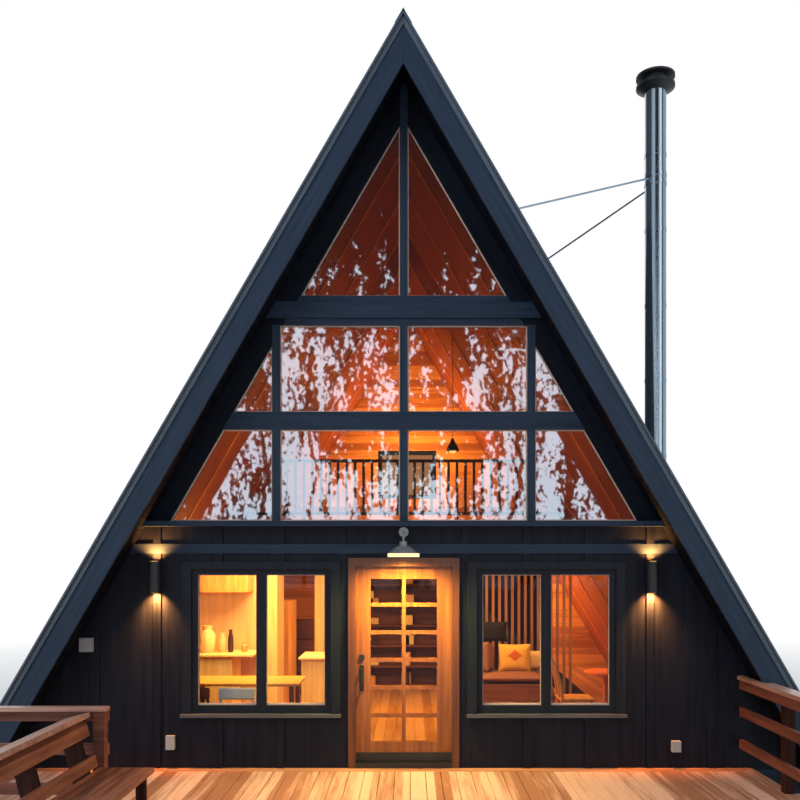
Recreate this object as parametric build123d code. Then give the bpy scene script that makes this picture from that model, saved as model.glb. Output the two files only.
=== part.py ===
"""A-frame cabin with a glazed front gable, a loft, a steel flue and a timber deck.

Modelled with the deck surface at Z = 0 and the outer face of the front wall at
Y = 0, looking along +Y. The finished solids are shifted so that the origin is
the middle of the bounding box's underside, which is the ground.
"""

from build123d import *
import math
import os

# Roof form, in millimetres and degrees
APEX_HEIGHT = 7190.0
HALF_ANGLE = 30.15
EAVE_LEVEL = -255.0
GROUND_LEVEL = -600.0
CABIN_LENGTH = 8530.0
OVERHANG = 480.0

# Roof build-up, measured square to the slope
ROOFING = 20.0
SHEATHING = 19.0
RAFTER_DEPTH = 140.0
LINING = 17.0
RAFTER_WIDTH = 38.0
RAFTER_PITCH = 610.0
RIDGE_BOARD = 38.0
ROOFING_LIP = 30.0
RAKE_BOARD = 38.0
RAKE_FACE = 220.0
RAKE_TRIM = 19.0
RAKE_TRIM_FACE = 40.0
RIDGE_CAP_FACE = 150.0
RIDGE_CAP_SHEET = 4.0
MITRE_GAP = 2.0

# Foundation and ground floor
FOUNDATION_THICKNESS = 200.0
FLOOR_TOP = 20.0
FLOOR_BOARDS = 38.0
JOIST_WIDTH = 38.0
JOIST_PITCH = 610.0

# Walls
WALL = 120.0
WALL_TOP = 2390.0
LEDGE_THICKNESS = 53.0
LEDGE_REACH = 120.0
BELT_BOTTOM = 2124.0
BELT_FACE = 94.0
BOARD = 19.0
BATTEN_FACE = 75.0
BATTEN_PITCH = 610.0
HEAD_CASING = 74.0

# Front gable glazing frame
FRAME_EDGE = 178.0
BOTTOM_RAIL = 60.0
TRANSOM_SHARE = 0.201
TRANSOM_FACE = 175.0
BEAM_SHARE = 0.4167
BEAM_FACE = 290.0
BEAM_BOARD_LIFT = 65.0
BEAM_BOARD_FACE = 160.0
MULLION_FACE = 76.0
MULLION_SHARE = 0.5374
GLASS = 6.0
GLASS_SETBACK = 45.0

# Ground floor windows, mirrored about the door
WINDOW_INNER = 722.0
WINDOW_SHARE = 0.7498
WINDOW_SILL = 506.0
SILL_THICKNESS = 31.0
SILL_REACH = 60.0
SILL_HORN = 100.0
WINDOW_HEAD = 1969.0
WINDOW_FRAME_SIDE = 60.0
WINDOW_FRAME_TOP = 55.0
WINDOW_FRAME_BOTTOM = 79.0
WINDOW_MULLION = 97.0
WINDOW_FRAME_DEPTH = 90.0
WINDOW_SETBACK = 10.0
CASING_FACE = 95.0

# Door
DOOR_OPENING = 1100.0
DOOR_HEAD = 2080.0
JAMB = 58.0
HEAD_JAMB = 72.0
JAMB_PROUD = 20.0
DOOR_GAP = 6.5
STOP_FACE = 12.0
THRESHOLD_TOP = 43.0
LEAF_THICKNESS = 45.0
STILE = 154.0
TOP_RAIL = 130.0
BOTTOM_RAIL_DOOR = 198.0
MUNTIN = 38.0
LITE_COLUMNS = 2
LITE_ROWS = 6
KICK_PLATE_HEIGHT = 90.0
KICK_PLATE_SHEET = 3.0
HINGE_LENGTH = 100.0
HINGE_BARREL = 6.0
HINGE_PIN = 3.0
HINGE_PIN_PLAY = 0.3
HINGE_PLATE = 2.0
HINGE_CLEARANCE = 1.0
HINGE_INSET = 181.0
LATCH_INSET = 65.0
GRIP_BOTTOM = 750.0
GRIP_LENGTH = 260.0
DEADBOLT_LEVEL = 1090.0
GRIP_STANDOFF = 55.0
GRIP_RADIUS = 9.0
GRIP_PLATE = 44.0
GRIP_END = 30.0
GRIP_BEND = 24.0
ROSE_RADIUS = 28.0
ROSE = 8.0
LEVER_DROP = 40.0
LEVER_LENGTH = 130.0
LEVER_FACE = 20.0

# Back wall windows
BACK_WINDOW_WIDTH = 1100.0
BACK_WINDOW_HEIGHT = 900.0
BACK_WINDOW_SILLS = (1000.0, 3300.0)
BACK_WINDOW_BAR = 55.0

# Loft and stair
LOFT_FRONT = 4150.0
LOFT_TOP = 2650.0
LOFT_DEPTH = 180.0
LOFT_RAIL_HEIGHT = 900.0
BALUSTER = 38.0
BALUSTER_PITCH = 125.0
RAIL_SETBACK = 10.0
RAIL_THICKNESS = 45.0
FOOT_RAIL_LIFT = 80.0
FOOT_EVERY = 6
STAIR_WIDTH = 760.0
STAIR_FOOT = 2500.0
STAIR_RUN = 2850.0
STAIR_RISERS = 13
TREAD = 38.0
STRINGER_FACE = 235.0
STRINGER = 38.0
WELL_HEADROOM = 0.62
SLAT_PITCH = 95.0

# Flue
FLUE_INSET = 1294.4
FLUE_Y = 1900.0
FLUE_RADIUS = 127.0
FLUE_BORE = 101.5
FLUE_RISE = 580.0
FLUE_BAND_LIFT = 438.0
FLUE_TOP_SECTION = 820.0
FLUE_BANDS = 6
FLUE_BAND_HEIGHT = 40.0
FLUE_BAND_PROUD = 4.0
FLUE_FIT = 0.3
FLUE_CLEARANCE = 50.0
FLUE_CAP_RADIUS = 229.0
BRACE_DROPS = (490.0, 585.0)
BRACE_BAND_HEIGHT = 50.0
BRACE_BAND_PROUD = 6.0
STRUT_RADIUS = 11.0
STRUT_SPREAD = 1700.0
STRUT_FOOT_X = 940.0
SUPPORT_BOX = 380.0
SUPPORT_PLATE = 10.0
SHOE_LENGTH = 90.0
SHOE_WIDTH = 60.0
SHOE_THICKNESS = 12.0
FLASHING_PLATE = 3.0
FLASHING_HALF = 330.0
BOOT_RADIUS = 205.0
BOOT_TAPER = 20.0
BOOT_LIP = 6.0
BOOT_RISE = 60.0
CAP_COLLAR = 60.0
CAP_SHEET = 6.0
CAP_RING = 28.0
CAP_SLOPE = 12.0
CAP_WAIST = 70.0
CAP_WAIST_TOP = 106.0
CAP_LID_LOW = 116.0
CAP_LID_TOP = 142.0
CAP_LID_EDGE = 40.0
CAP_LID_RISE = 18.0
CAP_TOP_RISE = 14.0

# Lamps and boxes on the front wall
SCONCE_SHARE = 0.429
SCONCE_BRACKET = 50.0
SCONCE_RADIUS = 58.0
SCONCE_BOTTOM = 1738.0
SCONCE_HEIGHT = 308.0
SCONCE_STANDOFF = 85.0
LAMP_RIM_RADIUS = 150.0
LAMP_RIM_LEVEL = 2086.0
LAMP_REACH = 290.0
LAMP_ARM_RADIUS = 11.0
LAMP_ARM_LEVEL = 2335.0
LAMP_PLATE_RADIUS = 48.0
LAMP_PLATE = 22.0
LAMP_ARM_BEND = 50.0
LAMP_SHEET = 4.0
LAMP_RIM_FACE = 38.0
LAMP_RIM_TAPER = 6.0
LAMP_SKIRT_HEIGHT = 72.0
LAMP_SKIRT_IN = 40.0
LAMP_SHOULDER_RADIUS = 70.0
LAMP_SHOULDER_HEIGHT = 100.0
LAMP_NECK_RADIUS = 42.0
LAMP_NECK_LOW = 110.0
LAMP_NECK_TOP_RADIUS = 36.0
LAMP_NECK_HEIGHT = 150.0
LAMP_HEIGHT = 158.0
BOX_DEPTH = 38.0
METER_INSET = 4.0
METER_WIDTH = 132.0
METER_LOW = 1154.0
METER_HEIGHT = 136.0
TAP_BOX_GAP = 64.0
TAP_BOX_WIDTH = 82.0
TAP_BOX_LOW = 190.0
TAP_BOX_HEIGHT = 135.0
SOCKET_GAP = 448.0
SOCKET_WIDTH = 85.0
SOCKET_LOW = 166.0
SOCKET_HEIGHT = 106.0

# Deck
DECK_BOARD = 38.0
DECK_DEPTH = 3660.0
DECK_RIGHT_INSET = 498.0
DECK_LEFT_INSET = 1510.0
WING_INSET = 200.0
WING_DEPTH = 1750.0
DECK_JOIST = 184.0
DECK_JOIST_PITCH = 406.0
POST = 89.0
TWO_BY = 38.0
RAIL_BOTTOMS = (195.0, 513.0, 783.0)
RAIL_FACE = 89.0
CAP_TOP = 916.0
CAP_FACE = 140.0
CAP_INSIDE = 20.0
ROOF_CLEARANCE = 5.0
POST_FIRST = 925.0
POST_LAST = 100.0
POST_COUNT = 3
LEFT_CAP_TOP = 892.0
LEFT_CAP_BOARD = 30.0
LEFT_CAP_FACE = 100.0
BENCH_SEAT_TOP = 430.0
BENCH_PLANK = 140.0
BENCH_PLANKS = 3
BENCH_LEAN = 15.0
BENCH_AFTER_WING = 50.0
PLANK_GAP = 5.0
BACK_FOOT = 60.0
BACK_LIFT = 20.0
BACK_HEIGHT = 380.0
BACK_LOW_RAIL = 40.0
BACK_TOP_RAIL = 310.0
BENCH_END = 100.0
STEP_TREADS = 3
STEP_GOING = 300.0
STEP_WIDTH = 1800.0

HALF_TAN = math.tan(math.radians(HALF_ANGLE))
HALF_SIN = math.sin(math.radians(HALF_ANGLE))
ROOF_UNDER = ROOFING + SHEATHING + RAFTER_DEPTH + LINING
RAKE_UNDER = ROOFING + RAKE_FACE
RAFTER_UNDER = ROOFING + SHEATHING + RAFTER_DEPTH
FLOOR_UNDER = FLOOR_TOP - FLOOR_BOARDS
HALF_DOOR = DOOR_OPENING / 2

parts = {}


def half_width(level, depth):
    """Half the width between the two slopes, at a depth square to the roof surface."""
    return (APEX_HEIGHT - depth / HALF_SIN - level) * HALF_TAN


def slope_level(x, depth):
    """Height of a slope at a distance from the middle."""
    return APEX_HEIGHT - depth / HALF_SIN - x / HALF_TAN


def block(x_range, y_range, z_range):
    """A box between three pairs of coordinates."""
    middle = [sum(pair) / 2 for pair in (x_range, y_range, z_range)]
    size = [abs(pair[1] - pair[0]) for pair in (x_range, y_range, z_range)]
    return Pos(*middle) * Box(*size)


def prism(points, y_range):
    """An outline of X and Z points, run along Y."""
    start, end = y_range
    outline = Polyline(*[(x, start, z) for x, z in points], close=True)
    return extrude(make_face(outline), amount=end - start, dir=(0, 1, 0))


def mirrored(shape):
    """The same piece on the other side of the door."""
    return mirror(shape, Plane.YZ)


def both_sides(shape):
    """A piece and its mirror image, as two solids that don't touch."""
    return Compound([shape, mirrored(shape)])


def group(shapes):
    """Like pieces of one node, kept as separate solids."""
    return Compound([solid for shape in shapes for solid in shape.solids()])


def slope_layer(outer, inner, middle_gap, y_range, low=EAVE_LEVEL):
    """One layer of the right slope, between two depths below the roof surface."""
    points = [
        (middle_gap, slope_level(middle_gap, outer)),
        (half_width(low, outer), low),
        (half_width(low, inner), low),
        (middle_gap, slope_level(middle_gap, inner)),
    ]
    return prism(points, y_range)


def gable_band(low, high, y_range, depth):
    """A strip across the gable that ends on the slopes."""
    points = [
        (-half_width(low, depth), low),
        (half_width(low, depth), low),
        (half_width(high, depth), high),
        (-half_width(high, depth), high),
    ]
    return prism(points, y_range)


# Levels and places that follow from the roof
FRAME_INNER = ROOF_UNDER + FRAME_EDGE
GABLE_HEIGHT = APEX_HEIGHT - WALL_TOP
TRANSOM_BOTTOM = WALL_TOP + TRANSOM_SHARE * GABLE_HEIGHT
BEAM_BOTTOM = WALL_TOP + BEAM_SHARE * GABLE_HEIGHT
BEAM_BOARD_BOTTOM = BEAM_BOTTOM + BEAM_BOARD_LIFT
MULLION_OFFSET = MULLION_SHARE * half_width(WALL_TOP, FRAME_INNER)
WINDOW_OUTER = WINDOW_SHARE * half_width(WINDOW_HEAD, ROOF_UNDER)
CASING_OUTER = WINDOW_OUTER + CASING_FACE
SCONCE_ROOM = half_width(SCONCE_BOTTOM + SCONCE_HEIGHT, ROOF_UNDER) - CASING_OUTER
SCONCE_X = CASING_OUTER + SCONCE_SHARE * SCONCE_ROOM
WALL_FOOT = half_width(0, ROOF_UNDER)
DECK_RIGHT = WALL_FOOT - DECK_RIGHT_INSET
DECK_LEFT = DECK_LEFT_INSET - WALL_FOOT
WING_LEFT = WING_INSET - WALL_FOOT
FLUE_X = half_width(EAVE_LEVEL, 0) - FLUE_INSET
FLUE_TOP = APEX_HEIGHT + FLUE_RISE
FLUE_BAND_BASE = slope_level(FLUE_X, 0) + FLUE_BAND_LIFT
FLUE_SECTION = (FLUE_TOP - FLUE_TOP_SECTION - FLUE_BAND_BASE) / (FLUE_BANDS - 1)

# Foundation and floor
END_WALLS = (0.0, CABIN_LENGTH - FOUNDATION_THICKNESS)
foundation_outer = half_width(EAVE_LEVEL, ROOFING + SHEATHING)
foundation_inner = foundation_outer - FOUNDATION_THICKNESS
parts["foundation_ends"] = group(
    block(
        (-foundation_inner, foundation_inner),
        (start, start + FOUNDATION_THICKNESS),
        (GROUND_LEVEL, EAVE_LEVEL),
    )
    for start in END_WALLS
)
parts["foundation_sides"] = both_sides(
    block(
        (foundation_inner, foundation_outer),
        (0, CABIN_LENGTH),
        (GROUND_LEVEL, EAVE_LEVEL),
    )
)
rim_beams = [
    gable_band(EAVE_LEVEL, FLOOR_UNDER, (start, start + WALL), ROOF_UNDER)
    for start in (0.0, CABIN_LENGTH - WALL)
]
joist_span = CABIN_LENGTH - 2 * WALL
joist_count = int(joist_span // JOIST_PITCH)
joists = [
    gable_band(
        EAVE_LEVEL,
        FLOOR_UNDER,
        (
            WALL + (k + 0.5) * joist_span / joist_count - JOIST_WIDTH / 2,
            WALL + (k + 0.5) * joist_span / joist_count + JOIST_WIDTH / 2,
        ),
        ROOF_UNDER,
    )
    for k in range(joist_count)
]
parts["floor_frame"] = group([*rim_beams, *joists])
parts["cabin_floor"] = gable_band(
    FLOOR_UNDER, FLOOR_TOP, (WALL, CABIN_LENGTH - WALL), ROOF_UNDER
)


# Front wall beside and over the doorway
def window_hole():
    """The opening for the right-hand ground floor window."""
    return block(
        (WINDOW_INNER, WINDOW_OUTER), (-WALL, 2 * WALL), (WINDOW_SILL, WINDOW_HEAD)
    )


wall_points = [
    (HALF_DOOR, FLOOR_UNDER),
    (half_width(FLOOR_UNDER, RAFTER_UNDER), FLOOR_UNDER),
    (half_width(WALL_TOP, RAFTER_UNDER), WALL_TOP),
    (HALF_DOOR, WALL_TOP),
]
front_wall_right = prism(wall_points, (0, WALL)) - window_hole()
parts["front_wall_right"] = front_wall_right
parts["front_wall_left"] = mirrored(front_wall_right)
parts["front_wall_over_door"] = block(
    (-HALF_DOOR, HALF_DOOR), (0, WALL), (DOOR_HEAD, WALL_TOP)
)

# Front trim
ledge = gable_band(
    WALL_TOP, WALL_TOP + LEDGE_THICKNESS, (-LEDGE_REACH, 0), ROOF_UNDER
)
BELT_TOP = BELT_BOTTOM + BELT_FACE
CASING_TOP = WINDOW_HEAD + HEAD_CASING
belt = gable_band(BELT_BOTTOM, BELT_TOP, (-BOARD, 0), ROOF_UNDER)
beam_board = gable_band(
    BEAM_BOARD_BOTTOM, BEAM_BOARD_BOTTOM + BEAM_BOARD_FACE, (-BOARD, 0), ROOF_UNDER
)
parts["front_trim"] = group([ledge, belt, beam_board])


def batten(x, low, high):
    """One vertical batten on the front wall, cut under the slope."""
    edge = abs(x) + BATTEN_FACE / 2
    top = min(high, slope_level(edge, ROOF_UNDER))
    if top - low < BATTEN_FACE / 2:
        return []
    return [
        block((x - BATTEN_FACE / 2, x + BATTEN_FACE / 2), (-BOARD, 0), (low, top))
    ]


batten_places = [k * BATTEN_PITCH for k in range(-6, 7)]
battens = []
for place in batten_places:
    beside_window = abs(place) - BATTEN_FACE / 2 > CASING_OUTER
    under_window = WINDOW_INNER < abs(place) < WINDOW_OUTER
    over_door = abs(place) - BATTEN_FACE / 2 < HALF_DOOR
    if abs(place) + BATTEN_FACE / 2 < half_width(WALL_TOP, ROOF_UNDER):
        battens += batten(place, BELT_TOP, WALL_TOP)
    if beside_window:
        battens += batten(place, 0, BELT_BOTTOM)
    else:
        battens += batten(place, DOOR_HEAD if over_door else CASING_TOP, BELT_BOTTOM)
    if under_window:
        battens += batten(place, 0, WINDOW_SILL)

# Covers on the wall, between the battens or let into them
meter_high = METER_LOW + METER_HEIGHT
meter_x = METER_INSET - half_width(meter_high, ROOF_UNDER)
tap_x = -CASING_OUTER - TAP_BOX_GAP
socket_x = CASING_OUTER + SOCKET_GAP
box_y = (-BOARD - BOX_DEPTH, 0)
wall_boxes = [
    block((meter_x, meter_x + METER_WIDTH), box_y, (METER_LOW, meter_high)),
    block((tap_x - TAP_BOX_WIDTH, tap_x), box_y, (TAP_BOX_LOW, TAP_BOX_LOW + TAP_BOX_HEIGHT)),
    block((socket_x, socket_x + SOCKET_WIDTH), box_y, (SOCKET_LOW, SOCKET_LOW + SOCKET_HEIGHT)),
]
parts["wall_boxes"] = group(wall_boxes)
for cover in wall_boxes:
    battens = [piece - cover for piece in battens]
parts["front_battens"] = group(battens)


# Glazed gable over the ledge
RAIL_TOP = WALL_TOP + BOTTOM_RAIL
TRANSOM_TOP = TRANSOM_BOTTOM + TRANSOM_FACE
BEAM_TOP = BEAM_BOTTOM + BEAM_FACE
HALF_MULLION = MULLION_FACE / 2


def gable_members(y_range):
    """Rails, sloping edges and mullions of the glazed gable."""
    edge = slope_layer(RAFTER_UNDER, FRAME_INNER, HALF_MULLION, y_range, WALL_TOP)
    edge -= block(
        (0, MULLION_OFFSET + HALF_MULLION), (-WALL, 2 * WALL), (WALL_TOP, BEAM_BOTTOM)
    )
    rails = [
        gable_band(low, high, y_range, FRAME_INNER)
        for low, high in (
            (WALL_TOP, RAIL_TOP),
            (TRANSOM_BOTTOM, TRANSOM_TOP),
            (BEAM_BOTTOM, BEAM_TOP),
        )
    ]
    apex = slope_level(0, RAFTER_UNDER)
    shoulder = slope_level(HALF_MULLION, RAFTER_UNDER)
    mullions = [
        prism(
            [
                (-HALF_MULLION, BEAM_TOP),
                (HALF_MULLION, BEAM_TOP),
                (HALF_MULLION, shoulder),
                (0, apex),
                (-HALF_MULLION, shoulder),
            ],
            y_range,
        )
    ]
    for low, high in ((RAIL_TOP, TRANSOM_BOTTOM), (TRANSOM_TOP, BEAM_BOTTOM)):
        for x in (-MULLION_OFFSET, 0.0, MULLION_OFFSET):
            mullions.append(
                block((x - HALF_MULLION, x + HALF_MULLION), y_range, (low, high))
            )
    return edge, rails, mullions


edge, rails, mullions = gable_members((0, WALL))
parts["gable_edges"] = both_sides(edge)
parts["gable_rails"] = group(rails)
parts["gable_mullions"] = group(mullions)


def pane(points):
    """A sheet of glass with the given outline."""
    return prism(points, (GLASS_SETBACK, GLASS_SETBACK + GLASS))


def storey_panes(low, high):
    """Half a row of panes: one between mullions and one against the slope."""
    inner = MULLION_OFFSET + HALF_MULLION
    centre = [
        (HALF_MULLION, low),
        (MULLION_OFFSET - HALF_MULLION, low),
        (MULLION_OFFSET - HALF_MULLION, high),
        (HALF_MULLION, high),
    ]
    side = [(inner, low), (half_width(low, FRAME_INNER), low)]
    if half_width(high, FRAME_INNER) > inner:
        side += [(half_width(high, FRAME_INNER), high), (inner, high)]
    else:
        side += [(inner, slope_level(inner, FRAME_INNER))]
    return [pane(centre), pane(side)]


top_pane = pane(
    [
        (HALF_MULLION, BEAM_TOP),
        (half_width(BEAM_TOP, FRAME_INNER), BEAM_TOP),
        (HALF_MULLION, slope_level(HALF_MULLION, FRAME_INNER)),
    ]
)
low_panes = storey_panes(RAIL_TOP, TRANSOM_BOTTOM)
right_panes = [*low_panes, *storey_panes(TRANSOM_TOP, BEAM_BOTTOM), top_pane]
parts["gable_glass"] = group([*right_panes, *[mirrored(sheet) for sheet in right_panes]])


# Ground floor windows
SILL_TOP = WINDOW_SILL + SILL_THICKNESS
window_y = (WINDOW_SETBACK, WINDOW_SETBACK + WINDOW_FRAME_DEPTH)
glass_low = SILL_TOP + WINDOW_FRAME_BOTTOM
glass_high = WINDOW_HEAD - WINDOW_FRAME_TOP
window_middle = (WINDOW_INNER + WINDOW_OUTER) / 2
light_edges = (
    (WINDOW_INNER + WINDOW_FRAME_SIDE, window_middle - WINDOW_MULLION / 2),
    (window_middle + WINDOW_MULLION / 2, WINDOW_OUTER - WINDOW_FRAME_SIDE),
)
window_frame = block((WINDOW_INNER, WINDOW_OUTER), window_y, (SILL_TOP, WINDOW_HEAD))
for light in light_edges:
    window_frame -= block(light, (-WALL, 2 * WALL), (glass_low, glass_high))
glass_y = (GLASS_SETBACK, GLASS_SETBACK + GLASS)
window_panes = [block(light, glass_y, (glass_low, glass_high)) for light in light_edges]
window_sill = block(
    (WINDOW_INNER - SILL_HORN, WINDOW_OUTER + SILL_HORN),
    (-SILL_REACH, 0),
    (WINDOW_SILL, SILL_TOP),
)
window_sill += block(
    (WINDOW_INNER, WINDOW_OUTER), (-SILL_REACH, window_y[1]), (WINDOW_SILL, SILL_TOP)
)
casing = block(
    (WINDOW_INNER - CASING_FACE, CASING_OUTER), (-BOARD, 0), (SILL_TOP, CASING_TOP)
)
casing -= block((WINDOW_INNER, WINDOW_OUTER), (-WALL, WALL), (0, WINDOW_HEAD))
parts["window_sills"] = both_sides(window_sill)
parts["window_casings"] = both_sides(casing)

# Door frame and threshold
jamb_inner = HALF_DOOR - JAMB
head_under = DOOR_HEAD - HEAD_JAMB
frame_y = (-JAMB_PROUD, WALL)
leaf_front = WALL - LEAF_THICKNESS
stop_y = (-JAMB_PROUD, leaf_front - DOOR_GAP)
door_frame = block((-HALF_DOOR, HALF_DOOR), frame_y, (FLOOR_UNDER, DOOR_HEAD))
door_frame -= block((-jamb_inner, jamb_inner), (-WALL, 2 * WALL), (FLOOR_UNDER - 1, head_under))
stops = block((-jamb_inner, jamb_inner), stop_y, (FLOOR_UNDER, head_under))
stops -= block(
    (-jamb_inner + STOP_FACE, jamb_inner - STOP_FACE),
    (-WALL, 2 * WALL),
    (FLOOR_UNDER - 1, head_under - STOP_FACE),
)
under_deck = block((-HALF_DOOR, HALF_DOOR), (-WALL, 0), (2 * FLOOR_UNDER, 0))
parts["door_frame"] = door_frame + stops - under_deck
threshold = block(
    (-jamb_inner + STOP_FACE, jamb_inner - STOP_FACE), frame_y, (FLOOR_UNDER, THRESHOLD_TOP)
)
parts["door_threshold"] = threshold - under_deck

# Door leaf
half_leaf = jamb_inner - DOOR_GAP
leaf_low = THRESHOLD_TOP + DOOR_GAP
leaf_high = head_under - DOOR_GAP
leaf_y = (leaf_front, WALL)
lites_low = leaf_low + BOTTOM_RAIL_DOOR
lites_high = leaf_high - TOP_RAIL
lites_width = 2 * (half_leaf - STILE)
lite_width = (lites_width - (LITE_COLUMNS - 1) * MUNTIN) / LITE_COLUMNS
lite_height = (lites_high - lites_low - (LITE_ROWS - 1) * MUNTIN) / LITE_ROWS
stile_inner = half_leaf - STILE
leaf_pieces = [
    block((-half_leaf, -stile_inner), leaf_y, (leaf_low, leaf_high)),
    block((stile_inner, half_leaf), leaf_y, (leaf_low, leaf_high)),
    block((-stile_inner, stile_inner), leaf_y, (leaf_low, lites_low)),
    block((-stile_inner, stile_inner), leaf_y, (lites_high, leaf_high)),
]
for row in range(1, LITE_ROWS):
    low = lites_low + row * (lite_height + MUNTIN) - MUNTIN
    leaf_pieces.append(block((-stile_inner, stile_inner), leaf_y, (low, low + MUNTIN)))
leaf_middle = (leaf_front + WALL) / 2
door_panes = []
for column in range(LITE_COLUMNS):
    left = -lites_width / 2 + column * (lite_width + MUNTIN)
    for row in range(LITE_ROWS):
        low = lites_low + row * (lite_height + MUNTIN)
        lite_x = (left, left + lite_width)
        lite_z = (low, low + lite_height)
        if column:
            leaf_pieces.append(block((left - MUNTIN, left), leaf_y, lite_z))
        pane_y = (leaf_middle - GLASS / 2, leaf_middle + GLASS / 2)
        door_panes.append(block(lite_x, pane_y, lite_z))
parts["door_leaf"] = group(leaf_pieces)
parts["door_glass"] = group(door_panes)
plate_half = jamb_inner - STOP_FACE - DOOR_GAP
kick_plate = block(
    (-plate_half, plate_half),
    (leaf_front - KICK_PLATE_SHEET, leaf_front),
    (leaf_low, leaf_low + KICK_PLATE_HEIGHT),
)

# Door handle: outside grip, inside lever and deadbolt
latch_x = -half_leaf + LATCH_INSET
grip_top = GRIP_BOTTOM + GRIP_LENGTH
grip = block(
    (latch_x - GRIP_PLATE / 2, latch_x + GRIP_PLATE / 2),
    (leaf_front - ROSE, leaf_front),
    (GRIP_BOTTOM, grip_top),
)
grip_path = FilletPolyline(
    (latch_x, leaf_front - ROSE / 2, GRIP_BOTTOM + GRIP_END),
    (latch_x, leaf_front - GRIP_STANDOFF, GRIP_BOTTOM + GRIP_END),
    (latch_x, leaf_front - GRIP_STANDOFF, grip_top - GRIP_END),
    (latch_x, leaf_front - ROSE / 2, grip_top - GRIP_END),
    radius=GRIP_BEND,
)
grip_section = Plane(origin=grip_path @ 0, z_dir=grip_path % 0) * Circle(GRIP_RADIUS)
grip += sweep(grip_section, path=grip_path)


def round_y(x, z, radius, y_range):
    """A round piece whose axis runs along Y."""
    start, end = y_range
    plane = Plane(origin=(x, start, z), x_dir=(1, 0, 0), z_dir=(0, 1, 0))
    return extrude(plane * Circle(radius), amount=end - start)


deadbolt = round_y(latch_x, DEADBOLT_LEVEL, ROSE_RADIUS, (leaf_front - 2 * ROSE, leaf_front))
inner_rose = round_y(latch_x, DEADBOLT_LEVEL, ROSE_RADIUS, (WALL, WALL + 2 * ROSE))
lever_level = grip_top - LEVER_DROP
lever_rose = round_y(latch_x, lever_level, ROSE_RADIUS, (WALL, WALL + 6 * ROSE))
lever = lever_rose + block(
    (latch_x - LEVER_FACE / 2, latch_x - LEVER_FACE / 2 + LEVER_LENGTH),
    (WALL + 5 * ROSE, WALL + 6 * ROSE),
    (lever_level - LEVER_FACE / 2, lever_level + LEVER_FACE / 2),
)
parts["door_handle"] = group([grip, deadbolt, inner_rose, lever, kick_plate])

# Hinges on the right edge of the leaf, with their barrels inside the room
hinge_x = (half_leaf + jamb_inner) / 2
hinge_y = WALL + HINGE_BARREL + HINGE_CLEARANCE
hinge_levels = (leaf_low + HINGE_INSET, (leaf_low + leaf_high) / 2, leaf_high - HINGE_INSET)
knuckle = HINGE_LENGTH / 3
leaf_knuckles = []
frame_knuckles = []
for level in hinge_levels:
    centre = Pos(hinge_x, hinge_y, level)
    middle = centre * Cylinder(HINGE_BARREL, knuckle - HINGE_CLEARANCE)
    middle -= centre * Cylinder(HINGE_PIN + HINGE_PIN_PLAY, HINGE_LENGTH)
    flap = block(
        (half_leaf, half_leaf + HINGE_PLATE),
        (leaf_front + HINGE_BARREL, hinge_y),
        (
            level - knuckle / 2 + HINGE_CLEARANCE,
            level + knuckle / 2 - HINGE_CLEARANCE,
        ),
    )
    flap -= centre * Cylinder(HINGE_PIN + HINGE_PIN_PLAY, HINGE_LENGTH)
    leaf_knuckles.append(middle + flap)
    fixed = centre * Cylinder(HINGE_PIN, HINGE_LENGTH)
    for end in (-1, 1):
        fixed += Pos(hinge_x, hinge_y, level + end * knuckle) * Cylinder(HINGE_BARREL, knuckle)
        fixed += block(
            (jamb_inner - HINGE_PLATE, jamb_inner),
            (leaf_front + HINGE_BARREL, hinge_y),
            (level + end * knuckle - knuckle / 2, level + end * knuckle + knuckle / 2),
        )
    frame_knuckles.append(fixed)
parts["door_hinges"] = group(leaf_knuckles)
parts["frame_hinges"] = group(frame_knuckles)


# Back wall, with one window a storey
def back_window_box(sill, inset, y_range):
    """The space of one back window, drawn in by a bar's width."""
    half = BACK_WINDOW_WIDTH / 2 - inset
    return block((-half, half), y_range, (sill + inset, sill + BACK_WINDOW_HEIGHT - inset))


back_face = CABIN_LENGTH
back_y = (back_face - WALL, back_face)
back_through = (back_face - 2 * WALL, back_face + WALL)
back_wall = prism(
    [
        (-half_width(FLOOR_UNDER, RAFTER_UNDER), FLOOR_UNDER),
        (half_width(FLOOR_UNDER, RAFTER_UNDER), FLOOR_UNDER),
        (0, slope_level(0, RAFTER_UNDER)),
    ],
    back_y,
)
back_frames = []
back_glass = []
back_casings = []
back_setback = back_face - WINDOW_SETBACK - WINDOW_FRAME_DEPTH
for sill in BACK_WINDOW_SILLS:
    back_wall -= back_window_box(sill, 0, back_through)
    frame = back_window_box(sill, 0, (back_setback, back_face - WINDOW_SETBACK))
    frame -= back_window_box(sill, BACK_WINDOW_BAR, back_through)
    bar_x = (-BACK_WINDOW_BAR / 2, BACK_WINDOW_BAR / 2)
    bar_z = (sill + BACK_WINDOW_BAR, sill + BACK_WINDOW_HEIGHT - BACK_WINDOW_BAR)
    frame += block(bar_x, (back_setback, back_face - WINDOW_SETBACK), bar_z)
    back_frames.append(frame)
    glass_x = (BACK_WINDOW_BAR / 2, BACK_WINDOW_WIDTH / 2 - BACK_WINDOW_BAR)
    sheet = block(glass_x, (back_face - GLASS_SETBACK - GLASS, back_face - GLASS_SETBACK), bar_z)
    back_glass += [sheet, mirrored(sheet)]
    surround = back_window_box(sill, -CASING_FACE, (back_face, back_face + BOARD))
    surround -= back_window_box(sill, 0, back_through)
    back_casings.append(surround)
parts["back_wall"] = back_wall
back_belt = gable_band(BELT_BOTTOM, BELT_TOP, (back_face, back_face + BOARD), ROOF_UNDER)
parts["back_trim"] = group([back_belt, *back_casings])
parts["window_frames"] = group([window_frame, mirrored(window_frame), *back_frames])
front_glass = [*window_panes, *[mirrored(sheet) for sheet in window_panes]]
parts["window_glass"] = group([*front_glass, *back_glass])

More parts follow.
